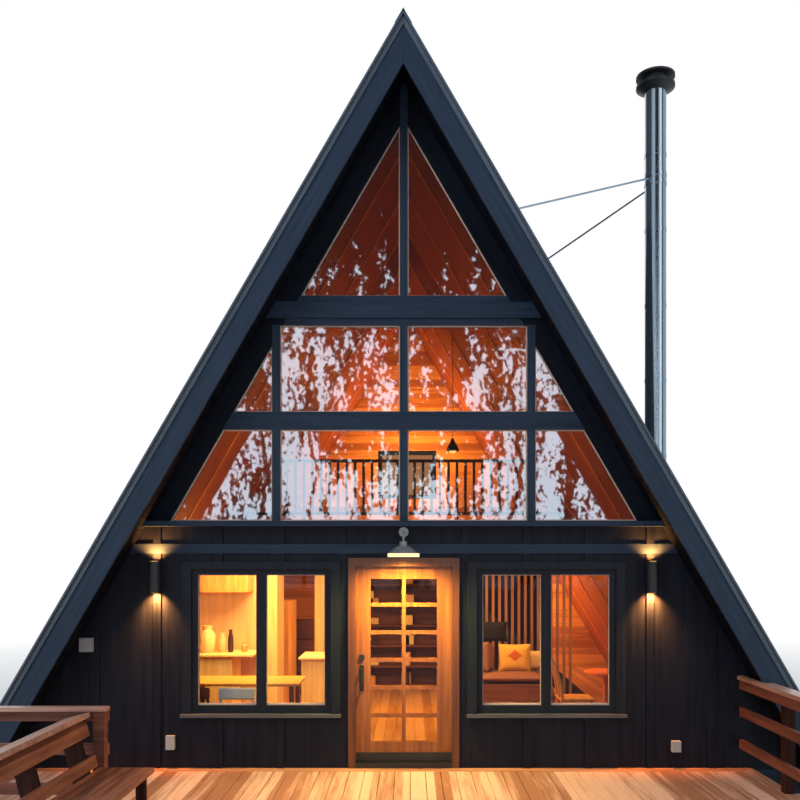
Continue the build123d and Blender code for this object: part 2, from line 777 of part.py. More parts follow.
# Roof: ridge board, rafters, sheathing, lining, soffits and roofing
rafter_top = ROOFING + SHEATHING
back_rake = CABIN_LENGTH + OVERHANG
inside_rakes = (-OVERHANG + RAKE_BOARD, back_rake - RAKE_BOARD)
half_ridge = RIDGE_BOARD / 2
half_mitre = MITRE_GAP / 2
flue_hole = Pos(FLUE_X, FLUE_Y, 0) * Cylinder(FLUE_RADIUS + FLUE_CLEARANCE, 2 * APEX_HEIGHT)
ridge_shoulder = slope_level(half_ridge, ROOFING)
ridge_foot = slope_level(0, RAFTER_UNDER)
parts["ridge_board"] = prism(
    [
        (-half_ridge, ridge_foot),
        (half_ridge, ridge_foot),
        (half_ridge, ridge_shoulder),
        (0, slope_level(0, ROOFING)),
        (-half_ridge, ridge_shoulder),
    ],
    inside_rakes,
)
rafter_starts = [
    inside_rakes[0],
    inside_rakes[1] - RAFTER_WIDTH,
    (WALL - RAFTER_WIDTH) / 2,
    CABIN_LENGTH - (WALL + RAFTER_WIDTH) / 2,
]
for direction in (-1, 1):
    place = FLUE_Y + direction * RAFTER_PITCH / 2
    while WALL + RAFTER_WIDTH < place < CABIN_LENGTH - WALL - RAFTER_WIDTH:
        rafter_starts.append(place - RAFTER_WIDTH / 2)
        place += direction * RAFTER_PITCH
rafters = [
    slope_layer(rafter_top, RAFTER_UNDER, half_ridge, (start, start + RAFTER_WIDTH))
    for start in sorted(rafter_starts)
]
parts["rafters"] = group([*rafters, *[mirrored(rafter) for rafter in rafters]])
sheathing = slope_layer(ROOFING, rafter_top, half_ridge, inside_rakes)
parts["roof_sheathing"] = group([sheathing - flue_hole, mirrored(sheathing)])
lining = slope_layer(RAFTER_UNDER, ROOF_UNDER, half_mitre, (WALL, CABIN_LENGTH - WALL))
parts["ceiling_lining"] = group([lining - flue_hole, mirrored(lining)])
soffits = []
for soffit_y in ((inside_rakes[0], 0), (CABIN_LENGTH, inside_rakes[1])):
    soffit = slope_layer(RAFTER_UNDER, ROOF_UNDER, half_mitre, soffit_y)
    soffits += [soffit, mirrored(soffit)]
parts["soffits"] = group(soffits)
rake_boards = []
rake_trims = []
for board_y, trim_y in (
    ((-OVERHANG, inside_rakes[0]), (-OVERHANG - RAKE_TRIM, -OVERHANG)),
    ((inside_rakes[1], back_rake), (back_rake, back_rake + RAKE_TRIM)),
):
    board = slope_layer(ROOFING, RAKE_UNDER, half_mitre, board_y)
    trim = slope_layer(ROOFING, ROOFING + RAKE_TRIM_FACE, half_mitre, trim_y)
    rake_boards += [board, mirrored(board)]
    rake_trims += [trim, mirrored(trim)]
parts["rake_boards"] = group(rake_boards)
parts["rake_trims"] = group(rake_trims)
roofing_y = (-OVERHANG - RAKE_TRIM - ROOFING_LIP, back_rake + RAKE_TRIM + ROOFING_LIP)
roofing = slope_layer(0, ROOFING, half_mitre, roofing_y)
parts["roofing"] = group([roofing - flue_hole, mirrored(roofing)])
cap_low = APEX_HEIGHT - RIDGE_CAP_FACE * math.cos(math.radians(HALF_ANGLE))
ridge_flange = slope_layer(-RIDGE_CAP_SHEET, 0, 0, roofing_y, cap_low)
parts["ridge_cap"] = group([ridge_flange, mirrored(ridge_flange)])

# Loft floor with its stairwell, the railing along its edge and the stair below it
loft_under = LOFT_TOP - LOFT_DEPTH
loft_beam = 2 * STRINGER
well_y = (LOFT_FRONT + loft_beam, LOFT_FRONT + loft_beam + STAIR_WIDTH)
stair_top = STAIR_FOOT - STAIR_RUN
well_x = (stair_top, STAIR_FOOT - (1 - WELL_HEADROOM) * STAIR_RUN)
loft_floor = gable_band(loft_under, LOFT_TOP, (LOFT_FRONT, CABIN_LENGTH - WALL), ROOF_UNDER)
loft_floor -= block(well_x, well_y, (loft_under - LOFT_DEPTH, LOFT_TOP + LOFT_DEPTH))
parts["loft_floor"] = loft_floor

rail_y = (LOFT_FRONT + RAIL_SETBACK, LOFT_FRONT + RAIL_SETBACK + BALUSTER)
rail_top = LOFT_TOP + LOFT_RAIL_HEIGHT
foot_rail = (LOFT_TOP + FOOT_RAIL_LIFT, LOFT_TOP + FOOT_RAIL_LIFT + RAIL_THICKNESS)
hand_rail = (rail_top - RAIL_THICKNESS, rail_top)
railing = [gable_band(*level, rail_y, ROOF_UNDER) for level in (hand_rail, foot_rail)]
rail_reach = half_width(rail_top, ROOF_UNDER) - BALUSTER_PITCH
baluster_count = int(rail_reach // BALUSTER_PITCH)
for k in range(-baluster_count, baluster_count + 1):
    baluster_x = (k * BALUSTER_PITCH - BALUSTER / 2, k * BALUSTER_PITCH + BALUSTER / 2)
    railing.append(block(baluster_x, rail_y, (foot_rail[1], hand_rail[0])))
    if k % FOOT_EVERY == 0:
        railing.append(block(baluster_x, rail_y, (LOFT_TOP, foot_rail[0])))
parts["loft_railing"] = group(railing)

rise = (LOFT_TOP - FLOOR_TOP) / STAIR_RISERS
going = STAIR_RUN / (STAIR_RISERS - 1)
stair_pitch = rise / going
stringer_drop = STRINGER_FACE * math.hypot(rise, going) / going


def stringer_level(x):
    """Height of the stringers' upper edge, which runs a board's thickness over the nosings."""
    return FLOOR_TOP + rise + (STAIR_FOOT - x) * stair_pitch


def stringer(y_start):
    """One sloping side board, cut level at the floor and at the loft."""
    top_cut = LOFT_TOP
    low_x = STAIR_FOOT + (rise / stair_pitch)
    outline = [
        (low_x, FLOOR_TOP),
        (low_x - stringer_drop / stair_pitch, FLOOR_TOP),
        (well_x[0], stringer_level(well_x[0]) - stringer_drop),
        (well_x[0], min(stringer_level(well_x[0]), top_cut)),
    ]
    reach = STAIR_FOOT - (top_cut - FLOOR_TOP - rise) / stair_pitch
    if stringer_level(well_x[0]) > top_cut:
        outline.append((reach, top_cut))
    return prism(outline, (y_start, y_start + STRINGER))


stringer_y = (well_y[0], well_y[1] - STRINGER)
parts["stair_stringers"] = group([stringer(start) for start in stringer_y])
treads = []
for k in range(1, STAIR_RISERS):
    x = STAIR_FOOT - (k - 1) * going
    z = FLOOR_TOP + k * rise
    treads.append(
        block((x - going, x), (well_y[0] + STRINGER, well_y[1] - STRINGER), (z - TREAD, z))
    )
parts["stair_treads"] = group(treads)
slats = []
slat_y = (LOFT_FRONT + loft_beam - BALUSTER, LOFT_FRONT + loft_beam)
slat_x = STAIR_FOOT - STAIR_RUN / 2
while slat_x + BALUSTER < STAIR_FOOT:
    slat_top = min(loft_under, slope_level(slat_x + BALUSTER, ROOF_UNDER))
    slats.append(block((slat_x, slat_x + BALUSTER), slat_y, (FLOOR_TOP, slat_top)))
    slat_x += SLAT_PITCH
parts["stair_screen"] = group(slats)

# Flue with its bands, brace, cap and roof flashing
flue_centre = Pos(FLUE_X, FLUE_Y, 0)
ceiling_at_flue = slope_level(FLUE_X, ROOF_UNDER)
support_low = ceiling_at_flue - SUPPORT_BOX
pipe_low = support_low + SUPPORT_PLATE
pipe_length = FLUE_TOP - pipe_low
pipe = flue_centre * Pos(0, 0, (FLUE_TOP + pipe_low) / 2) * Cylinder(FLUE_RADIUS, pipe_length)
pipe -= flue_centre * Pos(0, 0, (FLUE_TOP + pipe_low) / 2) * Cylinder(FLUE_BORE, 2 * pipe_length)
parts["flue_pipe"] = pipe
half_box = SUPPORT_BOX / 2
support = block(
    (FLUE_X - half_box, FLUE_X + half_box),
    (FLUE_Y - half_box, FLUE_Y + half_box),
    (support_low, ceiling_at_flue + SUPPORT_BOX),
)
support -= flue_centre * Pos(0, 0, pipe_low + pipe_length / 2) * Cylinder(
    FLUE_RADIUS + FLUE_FIT, pipe_length
)
above_ceiling = prism(
    [
        (0, slope_level(0, ROOF_UNDER)),
        (half_width(support_low - SUPPORT_BOX, ROOF_UNDER), support_low - SUPPORT_BOX),
        (half_width(support_low - SUPPORT_BOX, 0), support_low - SUPPORT_BOX),
        (half_width(support_low - SUPPORT_BOX, 0), APEX_HEIGHT),
        (0, APEX_HEIGHT),
    ],
    (FLUE_Y - SUPPORT_BOX, FLUE_Y + SUPPORT_BOX),
)
parts["flue_support"] = support - above_ceiling


def flue_ring(level, height, proud):
    """A band round the pipe, clear of it by the fit."""
    ring = Cylinder(FLUE_RADIUS + FLUE_FIT + proud, height)
    ring -= Cylinder(FLUE_RADIUS + FLUE_FIT, 2 * height)
    return flue_centre * Pos(0, 0, level) * ring


bands = [
    flue_ring(FLUE_BAND_BASE + k * FLUE_SECTION, FLUE_BAND_HEIGHT, FLUE_BAND_PROUD)
    for k in range(FLUE_BANDS)
]

pipe_fit = FLUE_RADIUS + FLUE_FIT
boot_low = slope_level(FLUE_X + BOOT_RADIUS, 0)
boot_high = slope_level(FLUE_X - BOOT_RADIUS, 0) + BOOT_RISE
boot_outline = [
    (pipe_fit, boot_low),
    (BOOT_RADIUS, boot_low),
    (BOOT_RADIUS - BOOT_TAPER, slope_level(FLUE_X, 0)),
    (pipe_fit + BOOT_LIP, boot_high),
    (pipe_fit, boot_high),
]
boot = revolve(make_face(Polyline(*[(r, 0, z) for r, z in boot_outline], close=True)), Axis.Z)
boot = flue_centre * boot
plate_x = FLASHING_HALF * HALF_SIN
plate_outline = [
    (FLUE_X - plate_x, slope_level(FLUE_X - plate_x, 0)),
    (FLUE_X - plate_x, slope_level(FLUE_X - plate_x, -FLASHING_PLATE)),
    (FLUE_X + plate_x, slope_level(FLUE_X + plate_x, -FLASHING_PLATE)),
    (FLUE_X + plate_x, slope_level(FLUE_X + plate_x, 0)),
]
flashing_plate = prism(plate_outline, (FLUE_Y - FLASHING_HALF, FLUE_Y + FLASHING_HALF))
flashing_plate -= flue_centre * Cylinder(FLUE_RADIUS + FLUE_FIT, 2 * APEX_HEIGHT)
under_roof = prism(
    [
        (FLUE_X - 2 * BOOT_RADIUS, slope_level(FLUE_X - 2 * BOOT_RADIUS, 0)),
        (FLUE_X + 2 * BOOT_RADIUS, slope_level(FLUE_X + 2 * BOOT_RADIUS, 0)),
        (FLUE_X - 2 * BOOT_RADIUS, slope_level(FLUE_X + 2 * BOOT_RADIUS, 0)),
    ],
    (FLUE_Y - 2 * BOOT_RADIUS, FLUE_Y + 2 * BOOT_RADIUS),
)
parts["flue_flashing"] = (boot - under_roof) + flashing_plate
lid_level = FLUE_TOP + CAP_LID_TOP
cap_profile = [
    (pipe_fit, FLUE_TOP - CAP_COLLAR),
    (FLUE_CAP_RADIUS - CAP_SHEET, FLUE_TOP),
    (FLUE_CAP_RADIUS, FLUE_TOP),
    (FLUE_CAP_RADIUS, FLUE_TOP + CAP_RING),
    (FLUE_CAP_RADIUS - CAP_WAIST, FLUE_TOP + CAP_RING + CAP_SLOPE),
    (FLUE_CAP_RADIUS - CAP_WAIST, FLUE_TOP + CAP_WAIST_TOP),
    (FLUE_CAP_RADIUS, FLUE_TOP + CAP_LID_LOW),
    (FLUE_CAP_RADIUS, lid_level),
    (FLUE_CAP_RADIUS - CAP_LID_EDGE, lid_level + CAP_LID_RISE),
    (0, lid_level + CAP_LID_RISE + CAP_TOP_RISE),
    (0, FLUE_TOP),
    (pipe_fit, FLUE_TOP),
]
cap = revolve(make_face(Polyline(*[(r, 0, z) for r, z in cap_profile], close=True)), Axis.Z)
parts["flue_cap"] = flue_centre * cap


def strut(direction, level):
    """One brace from the flue down to a plate on the roof."""
    foot = Vector(STRUT_FOOT_X, FLUE_Y + direction * STRUT_SPREAD, slope_level(STRUT_FOOT_X, 0))
    head = Vector(FLUE_X, FLUE_Y, level)
    along = (foot - head).normalized()
    plan = math.hypot(along.X, along.Y)
    start = head + along * ((pipe_fit + BRACE_BAND_PROUD) / plan)
    length = (foot - start).length
    rod = Plane(origin=start, z_dir=along).location * Cylinder(
        STRUT_RADIUS, length, align=(Align.CENTER, Align.CENTER, Align.MIN)
    )
    roof_plane = Plane(origin=foot, z_dir=(math.cos(math.radians(HALF_ANGLE)), 0, HALF_SIN))
    shoe = roof_plane.location * Box(
        SHOE_LENGTH, SHOE_WIDTH, SHOE_THICKNESS, align=(Align.CENTER, Align.CENTER, Align.MIN)
    )
    below_shoe = roof_plane.location * Pos(0, 0, SHOE_THICKNESS) * Box(
        length, length, length, align=(Align.CENTER, Align.CENTER, Align.MAX)
    )
    return [rod - below_shoe, shoe]


brace_levels = [APEX_HEIGHT - drop for drop in BRACE_DROPS]
brace_bands = [
    flue_ring(level, BRACE_BAND_HEIGHT, BRACE_BAND_PROUD) for level in brace_levels
]
parts["flue_struts"] = group([*strut(-1, brace_levels[0]), *strut(1, brace_levels[1])])
parts["flue_bands"] = group([*bands, *brace_bands])

# Wall lamps and the lamp over the door
sconce_middle = SCONCE_BOTTOM + SCONCE_HEIGHT / 2
sconce = Pos(SCONCE_X, -SCONCE_STANDOFF - BOARD, sconce_middle) * Cylinder(
    SCONCE_RADIUS, SCONCE_HEIGHT
)
sconce += block(
    (SCONCE_X - SCONCE_BRACKET / 2, SCONCE_X + SCONCE_BRACKET / 2),
    (-SCONCE_STANDOFF - BOARD, -BOARD),
    (sconce_middle - SCONCE_BRACKET, sconce_middle + SCONCE_BRACKET),
)
parts["wall_lamps"] = both_sides(sconce)

shade_outer = [
    (LAMP_RIM_RADIUS, 0),
    (LAMP_RIM_RADIUS - LAMP_RIM_TAPER, LAMP_RIM_FACE),
    (LAMP_RIM_RADIUS - LAMP_SKIRT_IN, LAMP_SKIRT_HEIGHT),
    (LAMP_SHOULDER_RADIUS, LAMP_SHOULDER_HEIGHT),
    (LAMP_NECK_RADIUS, LAMP_NECK_LOW),
    (LAMP_NECK_TOP_RADIUS, LAMP_NECK_HEIGHT),
    (0, LAMP_HEIGHT),
]
neck_wall = LAMP_NECK_RADIUS - 2 * LAMP_SHEET
shade_inner = [
    (0, LAMP_NECK_HEIGHT - 2 * LAMP_SHEET),
    (LAMP_NECK_TOP_RADIUS - LAMP_SHEET, LAMP_NECK_HEIGHT - 3 * LAMP_SHEET),
    (neck_wall, LAMP_NECK_LOW - 2 * LAMP_SHEET),
    (LAMP_SHOULDER_RADIUS - LAMP_SHEET, LAMP_SHOULDER_HEIGHT - 2 * LAMP_SHEET),
    (LAMP_RIM_RADIUS - LAMP_SKIRT_IN - LAMP_SHEET, LAMP_SKIRT_HEIGHT - LAMP_SHEET),
    (LAMP_RIM_RADIUS - LAMP_RIM_TAPER - LAMP_SHEET, LAMP_RIM_FACE),
    (LAMP_RIM_RADIUS - LAMP_SHEET, 0),
]
shade_profile = [(r, 0, z) for r, z in [*shade_outer, *shade_inner]]
shade = revolve(make_face(Polyline(*shade_profile, close=True)), Axis.Z)
lamp_y = -LAMP_REACH
parts["lamp_shade"] = Pos(0, lamp_y, LAMP_RIM_LEVEL) * shade
arm_path = FilletPolyline(
    (0, lamp_y, LAMP_RIM_LEVEL + LAMP_HEIGHT),
    (0, lamp_y, LAMP_ARM_LEVEL),
    (0, -BOARD, LAMP_ARM_LEVEL),
    radius=LAMP_ARM_BEND,
)
arm_section = Plane(origin=arm_path @ 0, z_dir=arm_path % 0) * Circle(LAMP_ARM_RADIUS)
arm = sweep(arm_section, path=arm_path)
arm += round_y(0, LAMP_ARM_LEVEL, LAMP_PLATE_RADIUS, (-BOARD - LAMP_PLATE, -BOARD))
parts["lamp_arm"] = arm

# Deck surface, its frame and its posts
deck_front = -DECK_DEPTH
wing_front = -WING_DEPTH
deck_outline = [
    (DECK_RIGHT, 0),
    (DECK_RIGHT, deck_front),
    (DECK_LEFT, deck_front),
    (DECK_LEFT, wing_front),
    (WING_LEFT, wing_front),
    (WING_LEFT, 0),
]
deck_face = make_face(Polyline(*[(x, y, -DECK_BOARD) for x, y in deck_outline], close=True))
parts["deck_floor"] = extrude(deck_face, amount=DECK_BOARD, dir=(0, 0, 1))
joist_z = (-DECK_BOARD - DECK_JOIST, -DECK_BOARD)


def joist_rows(front, back, left):
    """Evenly spaced joists along X between two lines, each with its back face on its row."""
    bays = math.ceil((back - front) / DECK_JOIST_PITCH)
    pitch = (back - front) / bays
    return [
        block((left, DECK_RIGHT - TWO_BY), (back - k * pitch - TWO_BY, back - k * pitch), joist_z)
        for k in range(bays)
    ]


inside_left = DECK_LEFT + TWO_BY
inside_wing = WING_LEFT + TWO_BY
inside_right = DECK_RIGHT - TWO_BY
deck_frame = [
    block((DECK_LEFT, inside_left), (deck_front, wing_front), joist_z),
    block((inside_right, DECK_RIGHT), (deck_front, 0), joist_z),
    block((WING_LEFT, inside_wing), (wing_front, 0), joist_z),
    block((inside_left, inside_right), (deck_front, deck_front + TWO_BY), joist_z),
    block((inside_wing, inside_right), (wing_front, wing_front + TWO_BY), joist_z),
    *joist_rows(wing_front + TWO_BY, 0, inside_wing),
    *joist_rows(deck_front + TWO_BY, wing_front, inside_left),
]
parts["deck_frame"] = group(deck_frame)
half_post = POST / 2
deck_feet = [
    (x, y)
    for y in (deck_front + half_post, wing_front + TWO_BY / 2, -half_post)
    for x in (DECK_LEFT + half_post, (DECK_LEFT + DECK_RIGHT) / 2, DECK_RIGHT - half_post)
]
deck_feet += [(WING_LEFT + half_post, y) for y in (wing_front + half_post, -half_post)]
feet = [
    block(
        (x - half_post, x + half_post),
        (y - half_post, y + half_post),
        (GROUND_LEVEL, joist_z[0]),
    )
    for x, y in deck_feet
]

# Right railing: posts on the deck's edge, three rails inside them and a flat cap
post_x = (DECK_RIGHT - POST, DECK_RIGHT)
rail_x = (post_x[0] - TWO_BY, post_x[0])
cap_under = CAP_TOP - TWO_BY
post_pitch = (DECK_DEPTH - POST_LAST - POST_FIRST) / (POST_COUNT - 1)
post_middles = [-POST_FIRST - k * post_pitch for k in range(POST_COUNT)]
railing_posts = [
    block(post_x, (y - half_post, y + half_post), (0, cap_under))
    for y in post_middles
]
parts["deck_posts"] = group([*feet, *railing_posts])
rail_front = post_middles[-1] - half_post
right_rails = [block(rail_x, (rail_front, 0), (low, low + RAIL_FACE)) for low in RAIL_BOTTOMS]
cap_inner_x = rail_x[0] - CAP_INSIDE
cap_outer_x = cap_inner_x + CAP_FACE
roof_front = -OVERHANG - RAKE_TRIM - ROOFING_LIP - ROOF_CLEARANCE
cap_by_wall = half_width(CAP_TOP, RAKE_UNDER) - ROOF_CLEARANCE
cap_outline = [
    (cap_inner_x, 0),
    (cap_by_wall, 0),
    (cap_by_wall, roof_front),
    (cap_outer_x, roof_front),
    (cap_outer_x, rail_front),
    (cap_inner_x, rail_front),
]
cap_face = make_face(Polyline(*[(x, y, cap_under) for x, y in cap_outline], close=True))
right_cap = extrude(cap_face, amount=TWO_BY, dir=(0, 0, 1))

# Left railing across the wing's front
left_cap_under = LEFT_CAP_TOP - LEFT_CAP_BOARD
left_post_y = (wing_front, wing_front + POST)
left_rail_y = (wing_front + POST, wing_front + POST + TWO_BY)
left_railing = [
    block((x, x + POST), left_post_y, (0, left_cap_under)) for x in (WING_LEFT, DECK_LEFT)
]
rail_shift = left_cap_under - cap_under
for low in RAIL_BOTTOMS:
    rail_z = (low + rail_shift, low + rail_shift + RAIL_FACE)
    left_railing.append(block((WING_LEFT, DECK_LEFT + POST), left_rail_y, rail_z))
cap_y = (wing_front - CAP_INSIDE, wing_front - CAP_INSIDE + LEFT_CAP_FACE)
left_cap_x = (WING_LEFT, DECK_LEFT + POST + CAP_INSIDE)
left_cap = block(left_cap_x, cap_y, (left_cap_under, LEFT_CAP_TOP))
parts["deck_railings"] = group([*right_rails, *left_railing])

# Bench along the left edge: planks on legs, and a back that leans outward
seat_under = BENCH_SEAT_TOP - TWO_BY
bench_y = (deck_front, wing_front - BENCH_AFTER_WING)
back_foot_x = DECK_LEFT + BACK_FOOT
lean = math.radians(BENCH_LEAN)
back_plane = Plane(
    origin=(back_foot_x, 0, BENCH_SEAT_TOP + BACK_LIFT),
    x_dir=(math.cos(lean), 0, math.sin(lean)),
    z_dir=(-math.sin(lean), 0, math.cos(lean)),
)
bench_middle = sum(bench_y) / 2
bench_length = bench_y[1] - bench_y[0]


def behind_back(x_range, y_range, z_range):
    """A box in the leaning frame of the bench's back, whose face is at X = 0."""
    return back_plane.location * block(x_range, y_range, z_range)


planks = []
plank_start = back_foot_x + 2 * PLANK_GAP
for k in range(BENCH_PLANKS):
    x = plank_start + k * (BENCH_PLANK + PLANK_GAP)
    planks.append(block((x, x + BENCH_PLANK), bench_y, (seat_under, BENCH_SEAT_TOP)))
bench_deep = BENCH_SEAT_TOP + DECK_BOARD
support_x = (-TWO_BY - CAP_FACE, -TWO_BY)
below_deck = block((WING_LEFT - WALL_FOOT, 0), (deck_front, 0), (GROUND_LEVEL, 0))
bearer_z = (seat_under - RAIL_FACE, seat_under)
leg_end = plank_start + BENCH_PLANKS * (BENCH_PLANK + PLANK_GAP) - TWO_BY
leg_x = (leg_end - 2 * TWO_BY, leg_end)
frames = []
for y in (bench_y[1] - BENCH_END, bench_middle, bench_y[0] + BENCH_END):
    thickness = (y - TWO_BY / 2, y + TWO_BY / 2)
    support = behind_back(support_x, thickness, (-bench_deep - BACK_LIFT, BACK_HEIGHT))
    behind = behind_back((-WALL_FOOT, -TWO_BY), thickness, (-bench_deep, BACK_HEIGHT))
    bearer = block((DECK_LEFT - CAP_FACE, leg_end), thickness, bearer_z)
    leg = block(leg_x, thickness, (0, bearer_z[0]))
    frames += [support - below_deck, bearer - behind, leg]
parts["bench_frames"] = group(frames)
back_rails = [
    behind_back((-TWO_BY, 0), bench_y, (height - face / 2, height + face / 2))
    for height, face in ((BACK_LOW_RAIL, RAIL_FACE), (BACK_TOP_RAIL, CAP_FACE))
]
parts["bench_boards"] = group([*planks, *back_rails])
bench_cap = behind_back(
    (support_x[0] + CAP_INSIDE, 2 * CAP_INSIDE), bench_y, (BACK_HEIGHT, BACK_HEIGHT + TWO_BY)
)
parts["rail_caps"] = group([right_cap, left_cap, bench_cap])

# Steps down from the deck's front edge
step_rise = -GROUND_LEVEL / (STEP_TREADS + 1)
half_step = STEP_WIDTH / 2
steps = []
for k in range(STEP_TREADS):
    near = deck_front - k * STEP_GOING
    top = -(k + 1) * step_rise
    tread_y = (near - STEP_GOING, near)
    steps.append(block((-half_step, half_step), tread_y, (top - TWO_BY, top)))
    for x in (-half_step, -TWO_BY / 2, half_step - TWO_BY):
        steps.append(block((x, x + TWO_BY), tread_y, (GROUND_LEVEL, top - TWO_BY)))
parts["deck_steps"] = group(steps)

# Shift every piece so that the origin is the middle of the underside of the box
whole = Compound([solid for shape in parts.values() for solid in shape.solids()])
box = whole.bounding_box()
shift = Vector(-(box.min.X + box.max.X) / 2, -(box.min.Y + box.max.Y) / 2, -box.min.Z)
os.makedirs("parts", exist_ok=True)
for name, shape in parts.items():
    moved = Compound(shape.solids()).moved(Location(shift))
    export_step(moved, f"parts/{name}.step")
print("nodes", len(parts), "shift", shift, "size", box.size)
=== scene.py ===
"""Looks of the A-frame cabin: materials, boards, shingles, glazing beads, furniture, lamps and light."""

import logging
import math
from dataclasses import dataclass
from enum import Enum
from typing import Iterable, Sequence

import bpy
from mathutils import Matrix, Vector


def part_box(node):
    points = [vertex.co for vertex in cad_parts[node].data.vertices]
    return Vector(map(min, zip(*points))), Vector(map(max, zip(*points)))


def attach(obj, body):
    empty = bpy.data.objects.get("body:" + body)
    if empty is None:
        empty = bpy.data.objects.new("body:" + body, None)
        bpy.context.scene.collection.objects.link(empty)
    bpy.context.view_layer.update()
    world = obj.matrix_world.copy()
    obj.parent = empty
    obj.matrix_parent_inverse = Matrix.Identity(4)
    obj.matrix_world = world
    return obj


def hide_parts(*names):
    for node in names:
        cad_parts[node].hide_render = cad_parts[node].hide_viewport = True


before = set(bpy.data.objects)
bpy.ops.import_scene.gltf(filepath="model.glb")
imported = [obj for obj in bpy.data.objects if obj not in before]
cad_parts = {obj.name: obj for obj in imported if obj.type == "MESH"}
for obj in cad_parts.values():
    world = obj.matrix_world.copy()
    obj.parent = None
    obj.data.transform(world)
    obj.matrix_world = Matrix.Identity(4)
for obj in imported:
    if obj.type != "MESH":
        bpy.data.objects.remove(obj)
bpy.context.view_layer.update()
LOG = logging.getLogger("cabin")

Colour = tuple[float, float, float]
Point = tuple[float, float, float]
Profile = tuple[tuple[float, float], ...]
Piece = bpy.types.Object
Socket = bpy.types.NodeSocket

ROOF_LOW, ROOF_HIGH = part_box("roofing")
SLOPE = math.atan2(ROOF_HIGH.z - ROOF_LOW.z, ROOF_HIGH.x)
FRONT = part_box("front_wall_over_door")[0].y
BACK_INSIDE, BACK_OUTSIDE = (corner.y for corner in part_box("back_wall"))
DECK_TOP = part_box("deck_floor")[1].z
LINING_THICKNESS = 0.017
ROOM_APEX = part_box("ceiling_lining")[1].z - LINING_THICKNESS / math.cos(SLOPE)

FLOOR_LEVEL = 0.621  # Just over the cabin's floor boards.
HAIR = 0.0005  # Room between faces that would otherwise touch.
ROOF_ROOM = 0.004  # Room between a wall's covering and the slope above it.
PANEL_PITCH = 1.2192  # Width of the ceiling's panels.
FIRST_STRIP = 1.3  # Distance of the ceiling's first joint from the front wall's face.
WALL_BOARD = 0.138  # Pitch of the boards on the back wall.
TAB_EXPOSURE = 0.143  # Part of a shingle course that shows.
WING_EDGE = -2.2  # Left of it the deck's rails run across the cabin.
BACK_SILLS = (1.6, 3.9)  # Levels of the back windows' sills.
BACK_WINDOW = (0.55, 0.9)  # Half width and height of a back window.
LAMP_RADIUS = 0.058  # Radius of a wall lamp.
TABLE_TOP = DECK_TOP + 0.747
COUNTER_TOP = DECK_TOP + 0.92
SOFA_TOP = DECK_TOP + 0.36  # Top of the sofa's frame.
LIGHT_SEAT = DECK_TOP + 0.5  # Underside of the light chair's seat.
STAIR_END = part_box("stair_stringers")[1].y - FRONT  # Counted from the front wall's face.
STONE_SCALE = 14.0  # How often the grain of stone and cloth repeats in a metre.
FIBRE_WAVES = (1.0, 5.0)  # Scales of the broad and the fine noise of fibres,
STONE_WAVES = (6.0, 24.0)  # and of stone and cloth.
ROUGHNESS_RANGE = 0.22  # How far the roughness of a finish varies.
COAT_ROUGHNESS = 0.15
RELIEF_DEPTH = 0.004
KNOT_SCALE, KNOT_EDGE = 0.22, 5.0  # How often knots come, and how sharply they end.
JOINT_EDGE, JOINT_DEPTH = 14.0, 2.5  # How sharply a joint between boards ends, and how deep it is.
TONE_DARK, TONE_LIGHT = 0.3, 0.68  # Noise values at a finish's two colours.


class Grain(Enum):
    """Which way the fibres or brush marks of a finish run."""

    ALONG_X = (1.5, 26.0, 26.0)
    ALONG_Y = (26.0, 1.5, 26.0)
    ALONG_Z = (26.0, 26.0, 1.5)
    DOWN_SLOPE = (1.5, 26.0, 26.1)


class Across(Enum):
    """The axis on which boards of a finish lie side by side."""

    X = 0
    Y = 1
    Z = 2
    SLOPE = 3
    TABS = 4
    NONE = 5


@dataclass(frozen=True)
class Finish:
    """One paint, timber, metal, cloth or stone finish.

    Attributes:
        name: Name of the material.
        light: Lighter of its two colours.
        dark: Darker of its two colours.
        roughness: Mean roughness.
        grain: Direction of fibres or brush marks.
        across: Axis on which its boards lie side by side.
        board: Width of a board in metres.
        spread: How far boards differ in tone.
        groove: Depth to which the joints between boards darken.
        bump: Strength of the relief.
        metallic: Share of metal in its shine.
        speckle: Whether it is grainy as stone instead of fibrous.
        coat: Weight of a clear coat.
        specular: Strength of its uncoated shine.
        knots: How dark its knots are.
        offset: Place of the first joint between its boards.
        turns: Whether its grain runs across the cabin on the deck's left wing.
    """

    name: str
    light: Colour
    dark: Colour
    roughness: float = 0.5
    grain: Grain = Grain.ALONG_Z
    across: Across = Across.NONE
    board: float = 0.14
    spread: float = 0.0
    groove: float = 0.0
    bump: float = 0.2
    metallic: float = 0.0
    speckle: bool = False
    coat: float = 0.0
    specular: float = 0.5
    knots: float = 0.0
    offset: float = 0.0
    turns: bool = False


